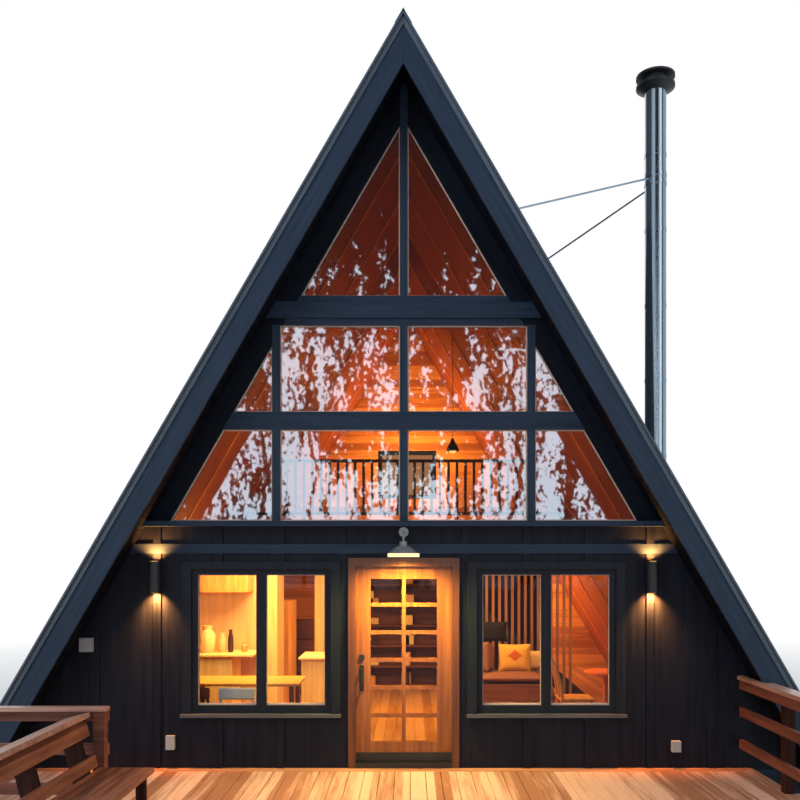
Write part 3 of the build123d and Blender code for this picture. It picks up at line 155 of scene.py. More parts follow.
class Desk:
    """The node tree of a material or of the world, with short calls to add and join nodes."""

    def __init__(self, name: str, world: bool = False) -> None:
        """Starts an empty node tree.

        Args:
            name: Name of the new material or world.
            world: Whether it is a world.
        """
        self.owner = (bpy.data.worlds if world else bpy.data.materials).new(name)
        self.owner.use_nodes = True
        self.tree = self.owner.node_tree
        self.tree.nodes.clear()
        self.output = self.add("ShaderNodeOutputWorld" if world else "ShaderNodeOutputMaterial")

    def add(self, kind: str, inputs: dict[str, object] | None = None, **values: object) -> bpy.types.Node:
        """Adds a node.

        Args:
            kind: Blender's name of the node type.
            inputs: Values of its inputs, or sockets that feed them, by the inputs' names.
            values: Attributes of the node.

        Returns:
            The node.
        """
        node = self.tree.nodes.new(kind)
        for key, value in values.items():
            setattr(node, key, value)
        for key, value in (inputs or {}).items():
            if isinstance(value, Socket):
                self.join(value, node.inputs[key])
            else:
                node.inputs[key].default_value = value
        return node

    def join(self, source: Socket, target: Socket) -> None:
        """Links an output to an input."""
        self.tree.links.new(source, target)

    def maths(self, operation: str, *inputs: float | Socket) -> Socket:
        """Adds a Math node.

        Args:
            operation: The node's operation.
            inputs: Numbers or sockets, in order.

        Returns:
            The node's output.
        """
        node = self.add("ShaderNodeMath", operation=operation)
        for socket, value in zip(node.inputs, inputs):
            if isinstance(value, (int, float)):
                socket.default_value = value
            else:
                self.join(value, socket)
        return node.outputs[0]

    def product(self, first: float | Socket, second: float | Socket) -> Socket:
        """Multiplies two values."""
        return self.maths("MULTIPLY", first, second)

    def hump(self, value: Socket, middle: float, half: float, height: float) -> Socket:
        """A rounded rise of a height round a middle value, which ends half a width to either side."""
        away = self.maths("DIVIDE", self.maths("SUBTRACT", value, middle) if middle else value, half)
        return self.product(self.maths("MAXIMUM", self.maths("SUBTRACT", 1.0, self.product(away, away)), 0.0), height)

    def noise(self, vector: Socket, scale: float, detail: float, roughness: float = 0.5) -> Socket:
        """Adds a Noise texture with a scale, a number of finer layers and their weight."""
        inputs = {"Vector": vector, "Scale": scale, "Detail": detail, "Roughness": roughness}
        return self.add("ShaderNodeTexNoise", inputs).outputs["Fac"]

    def ramp(self, factor: Socket, stops: Sequence[tuple[float, Colour]]) -> Socket:
        """Adds a colour ramp.

        Args:
            factor: Place on the ramp.
            stops: Places and colours, in order.

        Returns:
            The colour.
        """
        node = self.add("ShaderNodeValToRGB", {"Fac": factor})
        elements = node.color_ramp.elements
        while len(elements) < len(stops):
            elements.new(0.5)
        for element, (place, colour) in zip(elements, stops):
            element.position = place
            element.color = (*colour, 1.0)
        return node.outputs["Color"]

    def greys(self, factor: Socket, stops: Sequence[tuple[float, float]]) -> Socket:
        """Adds a ramp of greys, whose stops are places and brightnesses."""
        return self.ramp(factor, [(place, (grey, grey, grey)) for place, grey in stops])

    def split(self, vector: Socket) -> list[Socket]:
        """Separates coordinates into X, Y and Z."""
        return list(self.add("ShaderNodeSeparateXYZ", {"Vector": vector}).outputs)

    def gather(self, x: float | Socket, y: float | Socket, z: float | Socket) -> Socket:
        """Combines X, Y and Z into coordinates."""
        return self.add("ShaderNodeCombineXYZ", {"X": x, "Y": y, "Z": z}).outputs[0]

    def stretch(self, vector: Socket, scale: Point) -> Socket:
        """Scales coordinates along each axis."""
        return self.add("ShaderNodeMapping", {"Vector": vector, "Scale": scale}).outputs["Vector"]

    def blend(self, share: Socket, first: bpy.types.Node, second: bpy.types.Node) -> bpy.types.Node:
        """Mixes two shaders.

        Args:
            share: Share of the second.
            first: The first shader.
            second: The second shader.

        Returns:
            The mixing node.
        """
        node = self.add("ShaderNodeMixShader", {"Fac": share})
        self.join(first.outputs[0], node.inputs[1])
        self.join(second.outputs[0], node.inputs[2])
        return node

    def close(self, last: bpy.types.Node) -> bpy.types.ID:
        """Joins the last node to the output and returns the material or world."""
        self.join(last.outputs[0], self.output.inputs["Surface"])
        return self.owner


def slope_space(desk: Desk) -> Socket:
    """Coordinates turned so that X runs down either slope and Z stands square to it.

    Args:
        desk: The material's node tree.

    Returns:
        The turned coordinates.
    """
    x, y, z = desk.split(desk.add("ShaderNodeTexCoord").outputs["Object"])
    folded = desk.gather(desk.maths("ABSOLUTE", x), y, z)
    turn = desk.add("ShaderNodeMapping", {"Vector": folded, "Rotation": (0.0, -SLOPE, 0.0)})
    return turn.outputs["Vector"]


def turned_grain(desk: Desk, space: Socket) -> Socket:
    """Stretched coordinates whose grain runs along Y, and along X on the deck's left wing.

    Args:
        desk: The material's node tree.
        space: The coordinates to stretch.

    Returns:
        The stretched coordinates.
    """
    over, along, _ = Grain.ALONG_Y.value
    x, y, z = desk.split(space)
    left = desk.maths("LESS_THAN", x, WING_EDGE)
    scale_x = desk.maths("MULTIPLY_ADD", left, along - over, over)
    scale_y = desk.maths("MULTIPLY_ADD", left, over - along, along)
    return desk.gather(desk.product(x, scale_x), desk.product(y, scale_y), desk.product(z, over))


def lay_boards(desk: Desk, finish: Finish, space: Socket, factor: Socket, height: Socket) -> tuple[Socket, Socket]:
    """Gives each board or tab its own tone, and darkens and sinks the joints.

    Args:
        desk: The material's node tree.
        finish: The finish.
        space: Its coordinates.
        factor: Its tone so far.
        height: Its relief so far.

    Returns:
        The tone and the relief with the boards.
    """
    places = desk.split(space)
    axis = {Across.SLOPE: 0, Across.TABS: 1}.get(finish.across, finish.across.value)
    counted = desk.maths("DIVIDE", desk.maths("ADD", places[axis], finish.offset), finish.board)
    course: float | Socket = 0.0
    if finish.across is Across.TABS:
        course = desk.maths("FLOOR", desk.maths("DIVIDE", places[0], TAB_EXPOSURE))
    cell = desk.gather(desk.maths("FLOOR", counted), course, 0.0)
    tone = desk.add("ShaderNodeTexWhiteNoise", {"Vector": cell}, noise_dimensions="2D").outputs["Value"]
    factor = desk.maths("ADD", factor, desk.maths("MULTIPLY_ADD", tone, finish.spread, -finish.spread / 2))
    if finish.groove:
        from_joint = desk.product(desk.maths("PINGPONG", counted, 0.5), JOINT_EDGE)
        open_board = desk.maths("SMOOTH_MIN", from_joint, 1.0, 0.2)
        height = desk.maths("ADD", height, desk.product(open_board, JOINT_DEPTH))
        darkened = desk.maths("MULTIPLY_ADD", open_board, -finish.groove, finish.groove)
        factor = desk.maths("SUBTRACT", factor, darkened)
    return factor, height


def dress(finish: Finish) -> bpy.types.Material:
    """Builds the material of a finish.

    Args:
        finish: The finish.

    Returns:
        A procedural material on Object coordinates.
    """
    desk = Desk(finish.name)
    if finish.grain is Grain.DOWN_SLOPE or finish.across is Across.SLOPE:
        space = slope_space(desk)
    else:
        space = desk.add("ShaderNodeTexCoord").outputs["Object"]
    if finish.turns:
        stretched = turned_grain(desk, space)
    else:
        stretched = desk.stretch(space, (STONE_SCALE,) * 3 if finish.speckle else finish.grain.value)
    broad_scale, fine_scale = STONE_WAVES if finish.speckle else FIBRE_WAVES
    factor = desk.noise(stretched, broad_scale, 6.0)
    fine = desk.noise(stretched, fine_scale, 4.0)
    height = desk.maths("MULTIPLY_ADD", fine, 0.5, factor)
    if finish.across is not Across.NONE:
        factor, height = lay_boards(desk, finish, space, factor, height)
    if finish.knots:
        rings = desk.add("ShaderNodeTexVoronoi", {"Vector": stretched, "Scale": KNOT_SCALE}).outputs["Distance"]
        knot = desk.maths("MAXIMUM", desk.maths("SUBTRACT", 1.0, desk.product(rings, KNOT_EDGE)), 0.0)
        factor = desk.maths("SUBTRACT", factor, desk.product(knot, finish.knots))
    relief = desk.add("ShaderNodeBump", {"Strength": finish.bump, "Distance": RELIEF_DEPTH, "Height": height})
    shader = desk.add(
        "ShaderNodeBsdfPrincipled",
        {
            "Base Color": desk.ramp(factor, ((TONE_DARK, finish.dark), (TONE_LIGHT, finish.light))),
            "Metallic": finish.metallic,
            "Roughness": desk.maths("MULTIPLY_ADD", fine, ROUGHNESS_RANGE, finish.roughness - ROUGHNESS_RANGE / 2),
            "Specular IOR Level": finish.specular,
            "Coat Weight": finish.coat,
            "Coat Roughness": COAT_ROUGHNESS,
            "Normal": relief.outputs["Normal"],
        },
    )
    return desk.close(shader)


@dataclass(frozen=True)
class ClearGlass:
    """Window glass that shows the room and mirrors the sky.

    Attributes:
        name: Name of the material.
        bend: Index of refraction that sets how strongly it mirrors.
        tint: Colour of what is seen through it.
        back_tint: Colour of what is seen through the panes of the back wall.
        mirror: Colour of what it mirrors.
        blur: How rough its mirror is.
        waves: How often its waves come, how strong they are and how deep.
    """

    name: str
    bend: float
    tint: Colour
    back_tint: Colour | None = None
    mirror: Colour = (0.66, 0.84, 1.0)
    blur: float = 0.015
    waves: Point = (1.4, 0.05, 0.01)

    def dress(self) -> bpy.types.Material:
        """Builds the material, which mirrors on its outer face only.

        Returns:
            A procedural material on Object coordinates.
        """
        desk = Desk(self.name)
        place = desk.add("ShaderNodeTexCoord").outputs["Object"]
        tint: Sequence[float] | Socket = (*self.tint, 1.0)
        if self.back_tint:
            behind = desk.maths("GREATER_THAN", desk.split(place)[1], BACK_INSIDE)
            tint = desk.ramp(behind, ((0.0, self.tint), (1.0, self.back_tint)))
        through = desk.add("ShaderNodeBsdfTransparent", {"Color": tint})
        scale, strength, depth = self.waves
        ripple = desk.noise(place, scale, 1.0)
        waves = desk.add("ShaderNodeBump", {"Strength": strength, "Distance": depth, "Height": ripple})
        shine = {"Color": (*self.mirror, 1.0), "Roughness": self.blur, "Normal": waves.outputs["Normal"]}
        mirror = desk.add("ShaderNodeBsdfGlossy", shine)
        share = desk.add("ShaderNodeFresnel", {"IOR": self.bend}).outputs[0]
        outer = desk.maths("SUBTRACT", 1.0, desk.add("ShaderNodeNewGeometry").outputs["Backfacing"])
        return desk.close(desk.blend(desk.product(share, outer), through, mirror))


@dataclass(frozen=True)
class Glow:
    """A lit bulb or lens, or a glowing ring that stands for a painted highlight.

    Attributes:
        name: Name of the material.
        colour: Its light's colour.
        strength: Its brightness.
    """

    name: str
    colour: Colour
    strength: float

    def dress(self) -> bpy.types.Material:
        """Builds the material and returns it."""
        desk = Desk(self.name)
        return desk.close(desk.add("ShaderNodeEmission", {"Color": (*self.colour, 1.0), "Strength": self.strength}))


Look = Finish | ClearGlass | Glow

SIDING = Finish(
    "siding_paint", (0.009, 0.0125, 0.024), (0.0045, 0.0062, 0.012), 0.55, Grain.ALONG_Z, bump=0.35,
    specular=0.2,
)
TRIM_X = Finish(
    "trim_paint_level", (0.019, 0.036, 0.068), (0.012, 0.023, 0.046), 0.5, Grain.ALONG_X, bump=0.25,
    specular=0.2,
)
TRIM_Z = Finish(
    "trim_paint_upright", (0.023, 0.04, 0.068), (0.014, 0.025, 0.045), 0.5, Grain.ALONG_Z, bump=0.25,
    specular=0.2,
)
WINDOW_TRIM = Finish(
    "window_paint", (0.014, 0.018, 0.028), (0.008, 0.011, 0.018), 0.5, Grain.ALONG_Z, bump=0.25, specular=0.2
)
# Light grey of the window sills: painted highlight of their tops lit from the sky.
SILL_PAINTED_HIGHLIGHT = Finish("sill_painted_highlight", (0.105, 0.105, 0.115), (0.06, 0.06, 0.066), 0.5, Grain.ALONG_X, bump=0.25)
TRIM_SLOPE = Finish(
    "trim_paint_rake", (0.023, 0.043, 0.078), (0.015, 0.029, 0.055), 0.5, Grain.DOWN_SLOPE, bump=0.25,
    specular=0.25,
)
# Near black of the gable's edge frame under the roof: painted shade of the overhang, darker than the trim paint.
GABLE_TRIM_PAINTED_SHADE = Finish(
    "gable_paint_painted_shade", (0.006, 0.009, 0.017), (0.003, 0.005, 0.01), 0.6, Grain.DOWN_SLOPE, bump=0.25,
    specular=0.1,
)
# Grey metal of the rake trims and roof edges: its light grey is partly the metal's own colour and partly a painted
# highlight of the sky-lit edge.
EDGE_METAL_PAINTED_HIGHLIGHT = Finish(
    "edge_metal_painted_highlight", (0.09, 0.125, 0.17), (0.06, 0.085, 0.12), 0.45, Grain.DOWN_SLOPE, bump=0.1, specular=0.4
)
# Near black of the roof's underside: painted shade under the overhang, darker than the siding paint.
SOFFIT_PAINTED_SHADE = Finish(
    "soffit_boards_painted_shade", (0.005, 0.008, 0.015), (0.0025, 0.0035, 0.008), 0.65, Grain.ALONG_Y, Across.SLOPE, 0.14,
    0.2, 0.4, 0.4, specular=0.1,
)
LINING = Finish(
    "lining_panels", (0.34, 0.075, 0.018), (0.13, 0.024, 0.007), 0.42, Grain.DOWN_SLOPE, Across.Y, PANEL_PITCH,
    0.35, 0.0, 0.25, coat=0.15, specular=0.3, offset=-FRONT - FIRST_STRIP,
)
WALL_BOARDS = Finish(
    "wall_boards", (0.75, 0.3, 0.06), (0.4, 0.12, 0.02), 0.42, Grain.ALONG_X, Across.Z, WALL_BOARD, 0.7, 0.0, 0.25,
    coat=0.15,
)
STRIP_WOOD = Finish("ceiling_strips", (0.75, 0.26, 0.07), (0.5, 0.15, 0.04), 0.4, Grain.DOWN_SLOPE, bump=0.15)
FRAMING = Finish("sawn_framing", (0.6, 0.42, 0.24), (0.42, 0.27, 0.14), 0.7, Grain.DOWN_SLOPE, bump=0.4)
FLOOR_BOARDS = Finish(
    "floor_boards", (0.5, 0.24, 0.09), (0.3, 0.12, 0.04), 0.35, Grain.ALONG_Y, Across.X, 0.12, 0.5, 0.4, 0.2,
    coat=0.3,
)
DARK_STAIN = Finish("dark_stain", (0.06, 0.03, 0.018), (0.025, 0.012, 0.008), 0.45, Grain.ALONG_Z, bump=0.2)
SLAT_WOOD = Finish("slat_wood", (0.4, 0.2, 0.13), (0.24, 0.1, 0.06), 0.4, Grain.ALONG_Z, bump=0.2)
STAIR_WOOD = Finish("stair_wood", (0.3, 0.1, 0.04), (0.16, 0.05, 0.02), 0.4, Grain.ALONG_X, bump=0.2)
DOOR_WOOD = Finish(
    "door_varnish", (0.27, 0.088, 0.022), (0.14, 0.036, 0.01), 0.36, Grain.ALONG_Z, bump=0.15, coat=0.2
)
FRAME_WOOD = Finish(
    "door_frame_varnish", (0.14, 0.045, 0.018), (0.07, 0.02, 0.009), 0.4, Grain.ALONG_Z, bump=0.15, coat=0.1
)
DECK_WOOD_Y = Finish(
    "deck_boards_oil", (0.66, 0.4, 0.33), (0.32, 0.14, 0.09), 0.5, Grain.ALONG_Y, Across.X, 0.146, 0.75, 0.0,
    0.5, knots=0.5, specular=0.35,
)
BORDER_WOOD_X = Finish(
    "deck_border_oil", (0.5, 0.24, 0.14), (0.26, 0.11, 0.06), 0.55, Grain.ALONG_X, bump=0.5, knots=0.5,
    specular=0.3,
)
BENCH_WOOD = Finish(
    "bench_boards_oil", (0.3, 0.11, 0.06), (0.1, 0.032, 0.016), 0.5, Grain.ALONG_Y, Across.X, 0.145, 0.4, 0.0,
    0.5, knots=0.5, specular=0.4, coat=0.25,
)
DECK_WOOD_X = Finish(
    "deck_joists_oil", (0.32, 0.13, 0.07), (0.16, 0.06, 0.03), 0.55, Grain.ALONG_X, bump=0.5, knots=0.4
)
DECK_WOOD_Z = Finish(
    "deck_posts_oil", (0.048, 0.014, 0.009), (0.02, 0.006, 0.004), 0.55, Grain.ALONG_Z, bump=0.5, knots=0.4,
    specular=0.12,
)
RAIL_WOOD = Finish(
    "rails_oil", (0.23, 0.078, 0.05), (0.09, 0.027, 0.018), 0.5, Grain.ALONG_Y, bump=0.5, knots=0.3,
    specular=0.3, turns=True,
)
CAP_WOOD = Finish(
    "rail_caps_oil", (0.52, 0.28, 0.21), (0.27, 0.125, 0.085), 0.42, Grain.ALONG_Y, bump=0.5, knots=0.3,
    coat=0.35, turns=True,
)
SHINGLE = Finish(
    "shingle_granules", (0.05, 0.052, 0.06), (0.018, 0.019, 0.023), 0.85, Grain.DOWN_SLOPE, Across.TABS,
    0.1545, 0.22, 0.0, 0.6, speckle=True, specular=0.3,
)
CONCRETE = Finish("cast_concrete", (0.5, 0.49, 0.46), (0.36, 0.35, 0.33), 0.85, bump=0.5, speckle=True)
# Steel of the flue, bands and struts: its blue is a painted reflection of the sky, over the steel's own grey.
STEEL_PAINTED_SKY_TINT = Finish(
    "rolled_steel_painted_sky_tint", (0.52, 0.68, 0.82), (0.42, 0.56, 0.7), 0.16, Grain.ALONG_Z, bump=0.02, metallic=1.0
)
PLAIN_STEEL = Finish(
    "plain_steel", (0.5, 0.5, 0.5), (0.35, 0.35, 0.36), 0.35, Grain.ALONG_X, bump=0.05, metallic=1.0
)
BLACK_METAL = Finish("black_metal", (0.02, 0.022, 0.027), (0.01, 0.011, 0.014), 0.42, bump=0.08, speckle=True)
GREY_METAL = Finish(
    "grey_metal", (0.34, 0.36, 0.38), (0.24, 0.25, 0.27), 0.3, bump=0.05, metallic=0.6, speckle=True
)
GREY_PLASTIC = Finish("grey_plastic", (0.4, 0.41, 0.43), (0.3, 0.31, 0.33), 0.5, bump=0.08, speckle=True)
# Pale colour of the glazing beads: painted highlight of the lit edges of the panes.
BEAD_PAINTED_HIGHLIGHT = Finish("bead_painted_highlight", (0.6, 0.46, 0.38), (0.42, 0.3, 0.25), 0.35, Grain.ALONG_X, bump=0.05)
CREAM = Finish("cream_lacquer", (0.85, 0.6, 0.26), (0.7, 0.46, 0.18), 0.4, Grain.ALONG_Z, bump=0.06)
PEACH = Finish("peach_lacquer", (0.8, 0.48, 0.24), (0.66, 0.36, 0.16), 0.4, Grain.ALONG_Z, bump=0.06)
HONEY = Finish("honey_wood", (0.8, 0.36, 0.085), (0.5, 0.19, 0.035), 0.4, Grain.ALONG_Z, bump=0.12)
DRESSER = Finish("dresser_wood", (0.2, 0.07, 0.035), (0.1, 0.03, 0.015), 0.45, Grain.ALONG_X, bump=0.15)
DARK_PANEL = Finish(
    "dark_red_panel", (0.045, 0.011, 0.008), (0.022, 0.005, 0.004), 0.6, Grain.ALONG_Z, bump=0.2,
    specular=0.2,
)
SOFA_CLOTH = Finish(
    "sofa_cloth", (0.3, 0.13, 0.08), (0.2, 0.08, 0.05), 0.9, bump=0.5, speckle=True, specular=0.2
)
DARK_CLOTH = Finish(
    "dark_cloth", (0.03, 0.025, 0.025), (0.015, 0.012, 0.012), 0.9, bump=0.5, speckle=True, specular=0.2
)
YELLOW_CLOTH = Finish(
    "yellow_cloth", (0.85, 0.5, 0.1), (0.7, 0.34, 0.06), 0.9, bump=0.5, speckle=True, specular=0.2
)
ORANGE_CLOTH = Finish(
    "orange_cloth", (0.7, 0.16, 0.04), (0.5, 0.1, 0.025), 0.9, bump=0.5, speckle=True, specular=0.2
)
ORANGE_SEAT = Finish("orange_lacquer", (0.8, 0.2, 0.05), (0.6, 0.12, 0.03), 0.4, bump=0.08, speckle=True)
GABLE_GLASS = ClearGlass("gable_glass_clear", 4.2, (0.97, 0.97, 0.96))
ROOM_GLASS = ClearGlass("room_glass_clear", 1.3, (0.98, 0.97, 0.96), (0.76, 0.5, 0.32))
WARM_BULB = Glow("warm_bulb", (1.0, 0.62, 0.22), 14.0)
WARM_LENS = Glow("warm_lens", (1.0, 0.5, 0.15), 2.2)
# Glow of the door lamp's rim: painted highlight of the metal rim in the bulb's light.
RIM_PAINTED_HIGHLIGHT = Glow("rim_painted_highlight", (1.0, 0.76, 0.36), 1.6)

NODE_FINISHES: dict[Look, tuple[str, ...]] = {
    CONCRETE: ("foundation_ends", "foundation_sides"),
    SIDING: ("front_wall_left", "front_wall_right", "front_wall_over_door", "front_battens", "back_wall"),
    TRIM_X: ("front_trim", "gable_rails", "back_trim", "floor_frame"),
    TRIM_Z: ("gable_mullions",),
    WINDOW_TRIM: ("window_frames", "window_casings"),
    SILL_PAINTED_HIGHLIGHT: ("window_sills",),
    TRIM_SLOPE: ("rake_boards",),
    GABLE_TRIM_PAINTED_SHADE: ("gable_edges",),
    EDGE_METAL_PAINTED_HIGHLIGHT: ("rake_trims",),
    SOFFIT_PAINTED_SHADE: ("soffits",),
    LINING: ("ceiling_lining",),
    FRAMING: ("ridge_board", "rafters", "roof_sheathing"),
    FLOOR_BOARDS: ("cabin_floor", "loft_floor"),
    DARK_STAIN: ("loft_railing", "stair_stringers"),
    SLAT_WOOD: ("stair_screen",),
    STAIR_WOOD: ("stair_treads",),
    DOOR_WOOD: ("door_leaf",),
    FRAME_WOOD: ("door_frame",),
    DECK_WOOD_Y: ("deck_floor",),
    BENCH_WOOD: ("bench_boards",),
    DECK_WOOD_X: ("deck_frame", "deck_steps"),
    DECK_WOOD_Z: ("deck_posts", "bench_frames"),
    RAIL_WOOD: ("deck_railings",),
    CAP_WOOD: ("rail_caps",),
    SHINGLE: ("roofing",),
    STEEL_PAINTED_SKY_TINT: ("flue_pipe", "flue_bands", "flue_struts"),
    PLAIN_STEEL: ("door_hinges", "frame_hinges"),
    BLACK_METAL: (
        "door_threshold", "door_handle", "ridge_cap", "flue_support", "flue_flashing", "flue_cap", "wall_lamps",
    ),
    GREY_METAL: ("lamp_shade", "lamp_arm"),
    GREY_PLASTIC: ("wall_boxes",),
    GABLE_GLASS: ("gable_glass",),
    ROOM_GLASS: ("window_glass", "door_glass"),
}
MATERIALS: dict[str, bpy.types.Material] = {}


def material_of(finish: Look) -> bpy.types.Material:
    """The material of a finish, built once.

    Args:
        finish: The finish.

    Returns:
        Its material.
    """
    if finish.name not in MATERIALS:
        MATERIALS[finish.name] = dress(finish) if isinstance(finish, Finish) else finish.dress()
    return MATERIALS[finish.name]


def clear_selection() -> None:
    """Deselects every object."""
    for item in bpy.context.selected_objects:
        item.select_set(False)


def select_only(piece: Piece) -> None:
    """Selects one object and makes it the active one.

    Args:
        piece: The object.
    """
    clear_selection()
    piece.select_set(True)
    bpy.context.view_layer.objects.active = piece


def apply_modifier(piece: Piece, kind: str, **settings: object) -> Piece:
    """Shapes a piece with a modifier.

    Args:
        piece: The object.
        kind: Blender's name of the modifier's type.
        settings: The modifier's settings.

    Returns:
        The object.
    """
    select_only(piece)
    modifier = piece.modifiers.new(kind.lower(), kind)
    for key, value in settings.items():
        setattr(modifier, key, value)
    bpy.ops.object.modifier_apply(modifier=modifier.name)
    return piece


def block(name: str, low: Sequence[float], high: Sequence[float], bevel: float = 0.0) -> Piece:
    """A board or bar with its arrises taken off.

    Args:
        name: Name of the object.
        low: Lowest corner.
        high: Highest corner.
        bevel: Width of the bevel on its edges, in metres.

    Returns:
        The object, at the origin.
    """
    clear_selection()
    low, high = Vector(low), Vector(high)
    bpy.ops.mesh.primitive_cube_add(size=1.0, location=(low + high) / 2, scale=high - low)
    piece = bpy.context.object
    piece.name = name
    bpy.ops.object.transform_apply(location=True, rotation=True, scale=True)
    if bevel:
        bpy.ops.object.mode_set(mode="EDIT")
        bpy.ops.mesh.select_all(action="SELECT")
        bpy.ops.mesh.bevel(offset=bevel, segments=1)
        bpy.ops.object.mode_set(mode="OBJECT")
    return piece


def settle(piece: Piece, name: str, finish: Look, body: str = "cabin") -> Piece:
    """Names, dresses and mounts a finished piece, and reports it.

    Args:
        piece: The object.
        name: Its name.
        finish: Its finish.
        body: The CAD body that it rides on.

    Returns:
        The object.
    """
    piece.name = name
    piece.data.name = name
    piece.data.materials.clear()
    piece.data.materials.append(material_of(finish))
    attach(piece, body)
    LOG.info("%s: %d faces on %s", name, len(piece.data.polygons), body)
    return piece


def repeat(piece: Piece, step: Sequence[float], count: int) -> Piece:
    """Repeats a piece along a line inside its own mesh.

    Args:
        piece: The object.
        step: Distance from one copy to the next.
        count: Number of copies in all.

    Returns:
        The object.
    """
    if count < 2:
        return piece
    return apply_modifier(
        piece,
        "ARRAY",
        use_relative_offset=False,
        use_constant_offset=True,
        constant_offset_displace=step,
        count=count,
    )


def weld(pieces: Iterable[Piece], name: str) -> Piece:
    """Joins pieces into one object.

    Args:
        pieces: The objects.
        name: Name of the result.

    Returns:
        The joined object.
    """
    clear_selection()
    pieces = list(pieces)
    for piece in pieces:
        piece.select_set(True)
    bpy.context.view_layer.objects.active = pieces[0]
    bpy.ops.object.join()
    pieces[0].name = name
    return pieces[0]


def copy_of(piece: Piece, place: Matrix) -> Piece:
    """A copy of a piece with its own mesh, moved or mirrored.

    Args:
        piece: The object to copy.
        place: The transform of the copy.

    Returns:
        The copy, at the origin.
    """
    twin = piece.copy()
    twin.data = piece.data.copy()
    bpy.context.scene.collection.objects.link(twin)
    twin.data.transform(place)
    if place.determinant() < 0:
        twin.data.flip_normals()
    return twin


def mirrored(piece: Piece) -> Piece:
    """The same piece on the other side of the door."""
    return copy_of(piece, Matrix.Scale(-1, 4, (1, 0, 0)))


def on_slope(y: float, z: float) -> Matrix:
    """The place on the right slope of a piece made flat, which starts at a level over the cabin's middle."""
    return Matrix.Translation((0, y, z)) @ Matrix.Rotation(SLOPE, 4, "Y")


def trim(piece: Piece, point: Sequence[float], outward: Sequence[float]) -> Piece:
    """Cuts a piece along a plane and closes the cut.

    Args:
        piece: The object.
        point: A point on the plane.
        outward: The plane's normal, on whose side the piece is cut away.

    Returns:
        The object.
    """
    select_only(piece)
    bpy.ops.object.mode_set(mode="EDIT")
    bpy.ops.mesh.select_all(action="SELECT")
    bpy.ops.mesh.bisect(plane_co=point, plane_no=outward, use_fill=True, clear_outer=True)
    bpy.ops.object.mode_set(mode="OBJECT")
    return piece


def trim_to_slope(piece: Piece, side: int) -> Piece:
    """Cuts a piece off just under the ceiling, on the right with side 1 and on the left with side -1."""
    normal = Vector((side * math.sin(SLOPE), 0, math.cos(SLOPE)))
    return trim(piece, Vector((0, 0, ROOM_APEX)) - normal * ROOF_ROOM, normal)


def carve(piece: Piece, cutter: Piece) -> Piece:
    """Takes a cutter's space out of a piece and removes the cutter.

    Args:
        piece: The object.
        cutter: The object whose space is taken out.

    Returns:
        The object.
    """
    apply_modifier(piece, "BOOLEAN", operation="DIFFERENCE", object=cutter, solver="EXACT")
    bpy.data.objects.remove(cutter)
    return piece


def open_back_windows(piece: Piece, y: float, room: float) -> None:
    """Cuts the windows' openings out of a covering of the back wall.

    Args:
        piece: The covering.
        y: Place of the wall's face.
        room: How far the openings reach past the windows.
    """
    half, height = BACK_WINDOW
    for sill in BACK_SILLS:
        low = (-half - room, y - 0.1, sill - room)
        carve(piece, block("hole", low, (half + room, y + 0.1, sill + height + room)))


def subdivide(piece: Piece, cuts: int) -> None:
    """Divides every face of a piece.

    Args:
        piece: The object.
        cuts: Number of cuts each way.
    """
    select_only(piece)
    bpy.ops.object.mode_set(mode="EDIT")
    bpy.ops.mesh.select_all(action="SELECT")
    bpy.ops.mesh.subdivide(number_cuts=cuts)
    bpy.ops.object.mode_set(mode="OBJECT")


def turned(name: str, rings: Profile, place: Point, sides: int = 24) -> Piece:
    """A round piece built up from rings, closed at both ends.

    Args:
        name: Name of the object.
        rings: Radius and height of each ring, from the lowest up.
        place: The middle of its foot.
        sides: Number of sides.

    Returns:
        The object.
    """
    clear_selection()
    first, low = rings[0]
    x, y, z = place
    bpy.ops.mesh.primitive_circle_add(vertices=sides, radius=first, location=(x, y, z + low), fill_type="NGON")
    piece = bpy.context.object
    piece.name = name
    bpy.ops.object.transform_apply(location=True, rotation=True, scale=True)
    bpy.ops.object.mode_set(mode="EDIT")
    bpy.ops.mesh.select_all(action="SELECT")
    for (radius, height), (before, level) in zip(rings[1:], rings):
        bpy.ops.mesh.extrude_region_move(TRANSFORM_OT_translate={"value": (0, 0, height - level)})
        scale = radius / before
        bpy.ops.transform.resize(value=(scale, scale, 1.0), center_override=(x, y, z))
    bpy.ops.mesh.select_all(action="SELECT")
    bpy.ops.mesh.normals_make_consistent(inside=False)
    bpy.ops.object.mode_set(mode="OBJECT")
    bpy.ops.object.shade_smooth_by_angle(angle=math.radians(35.0))
    return piece


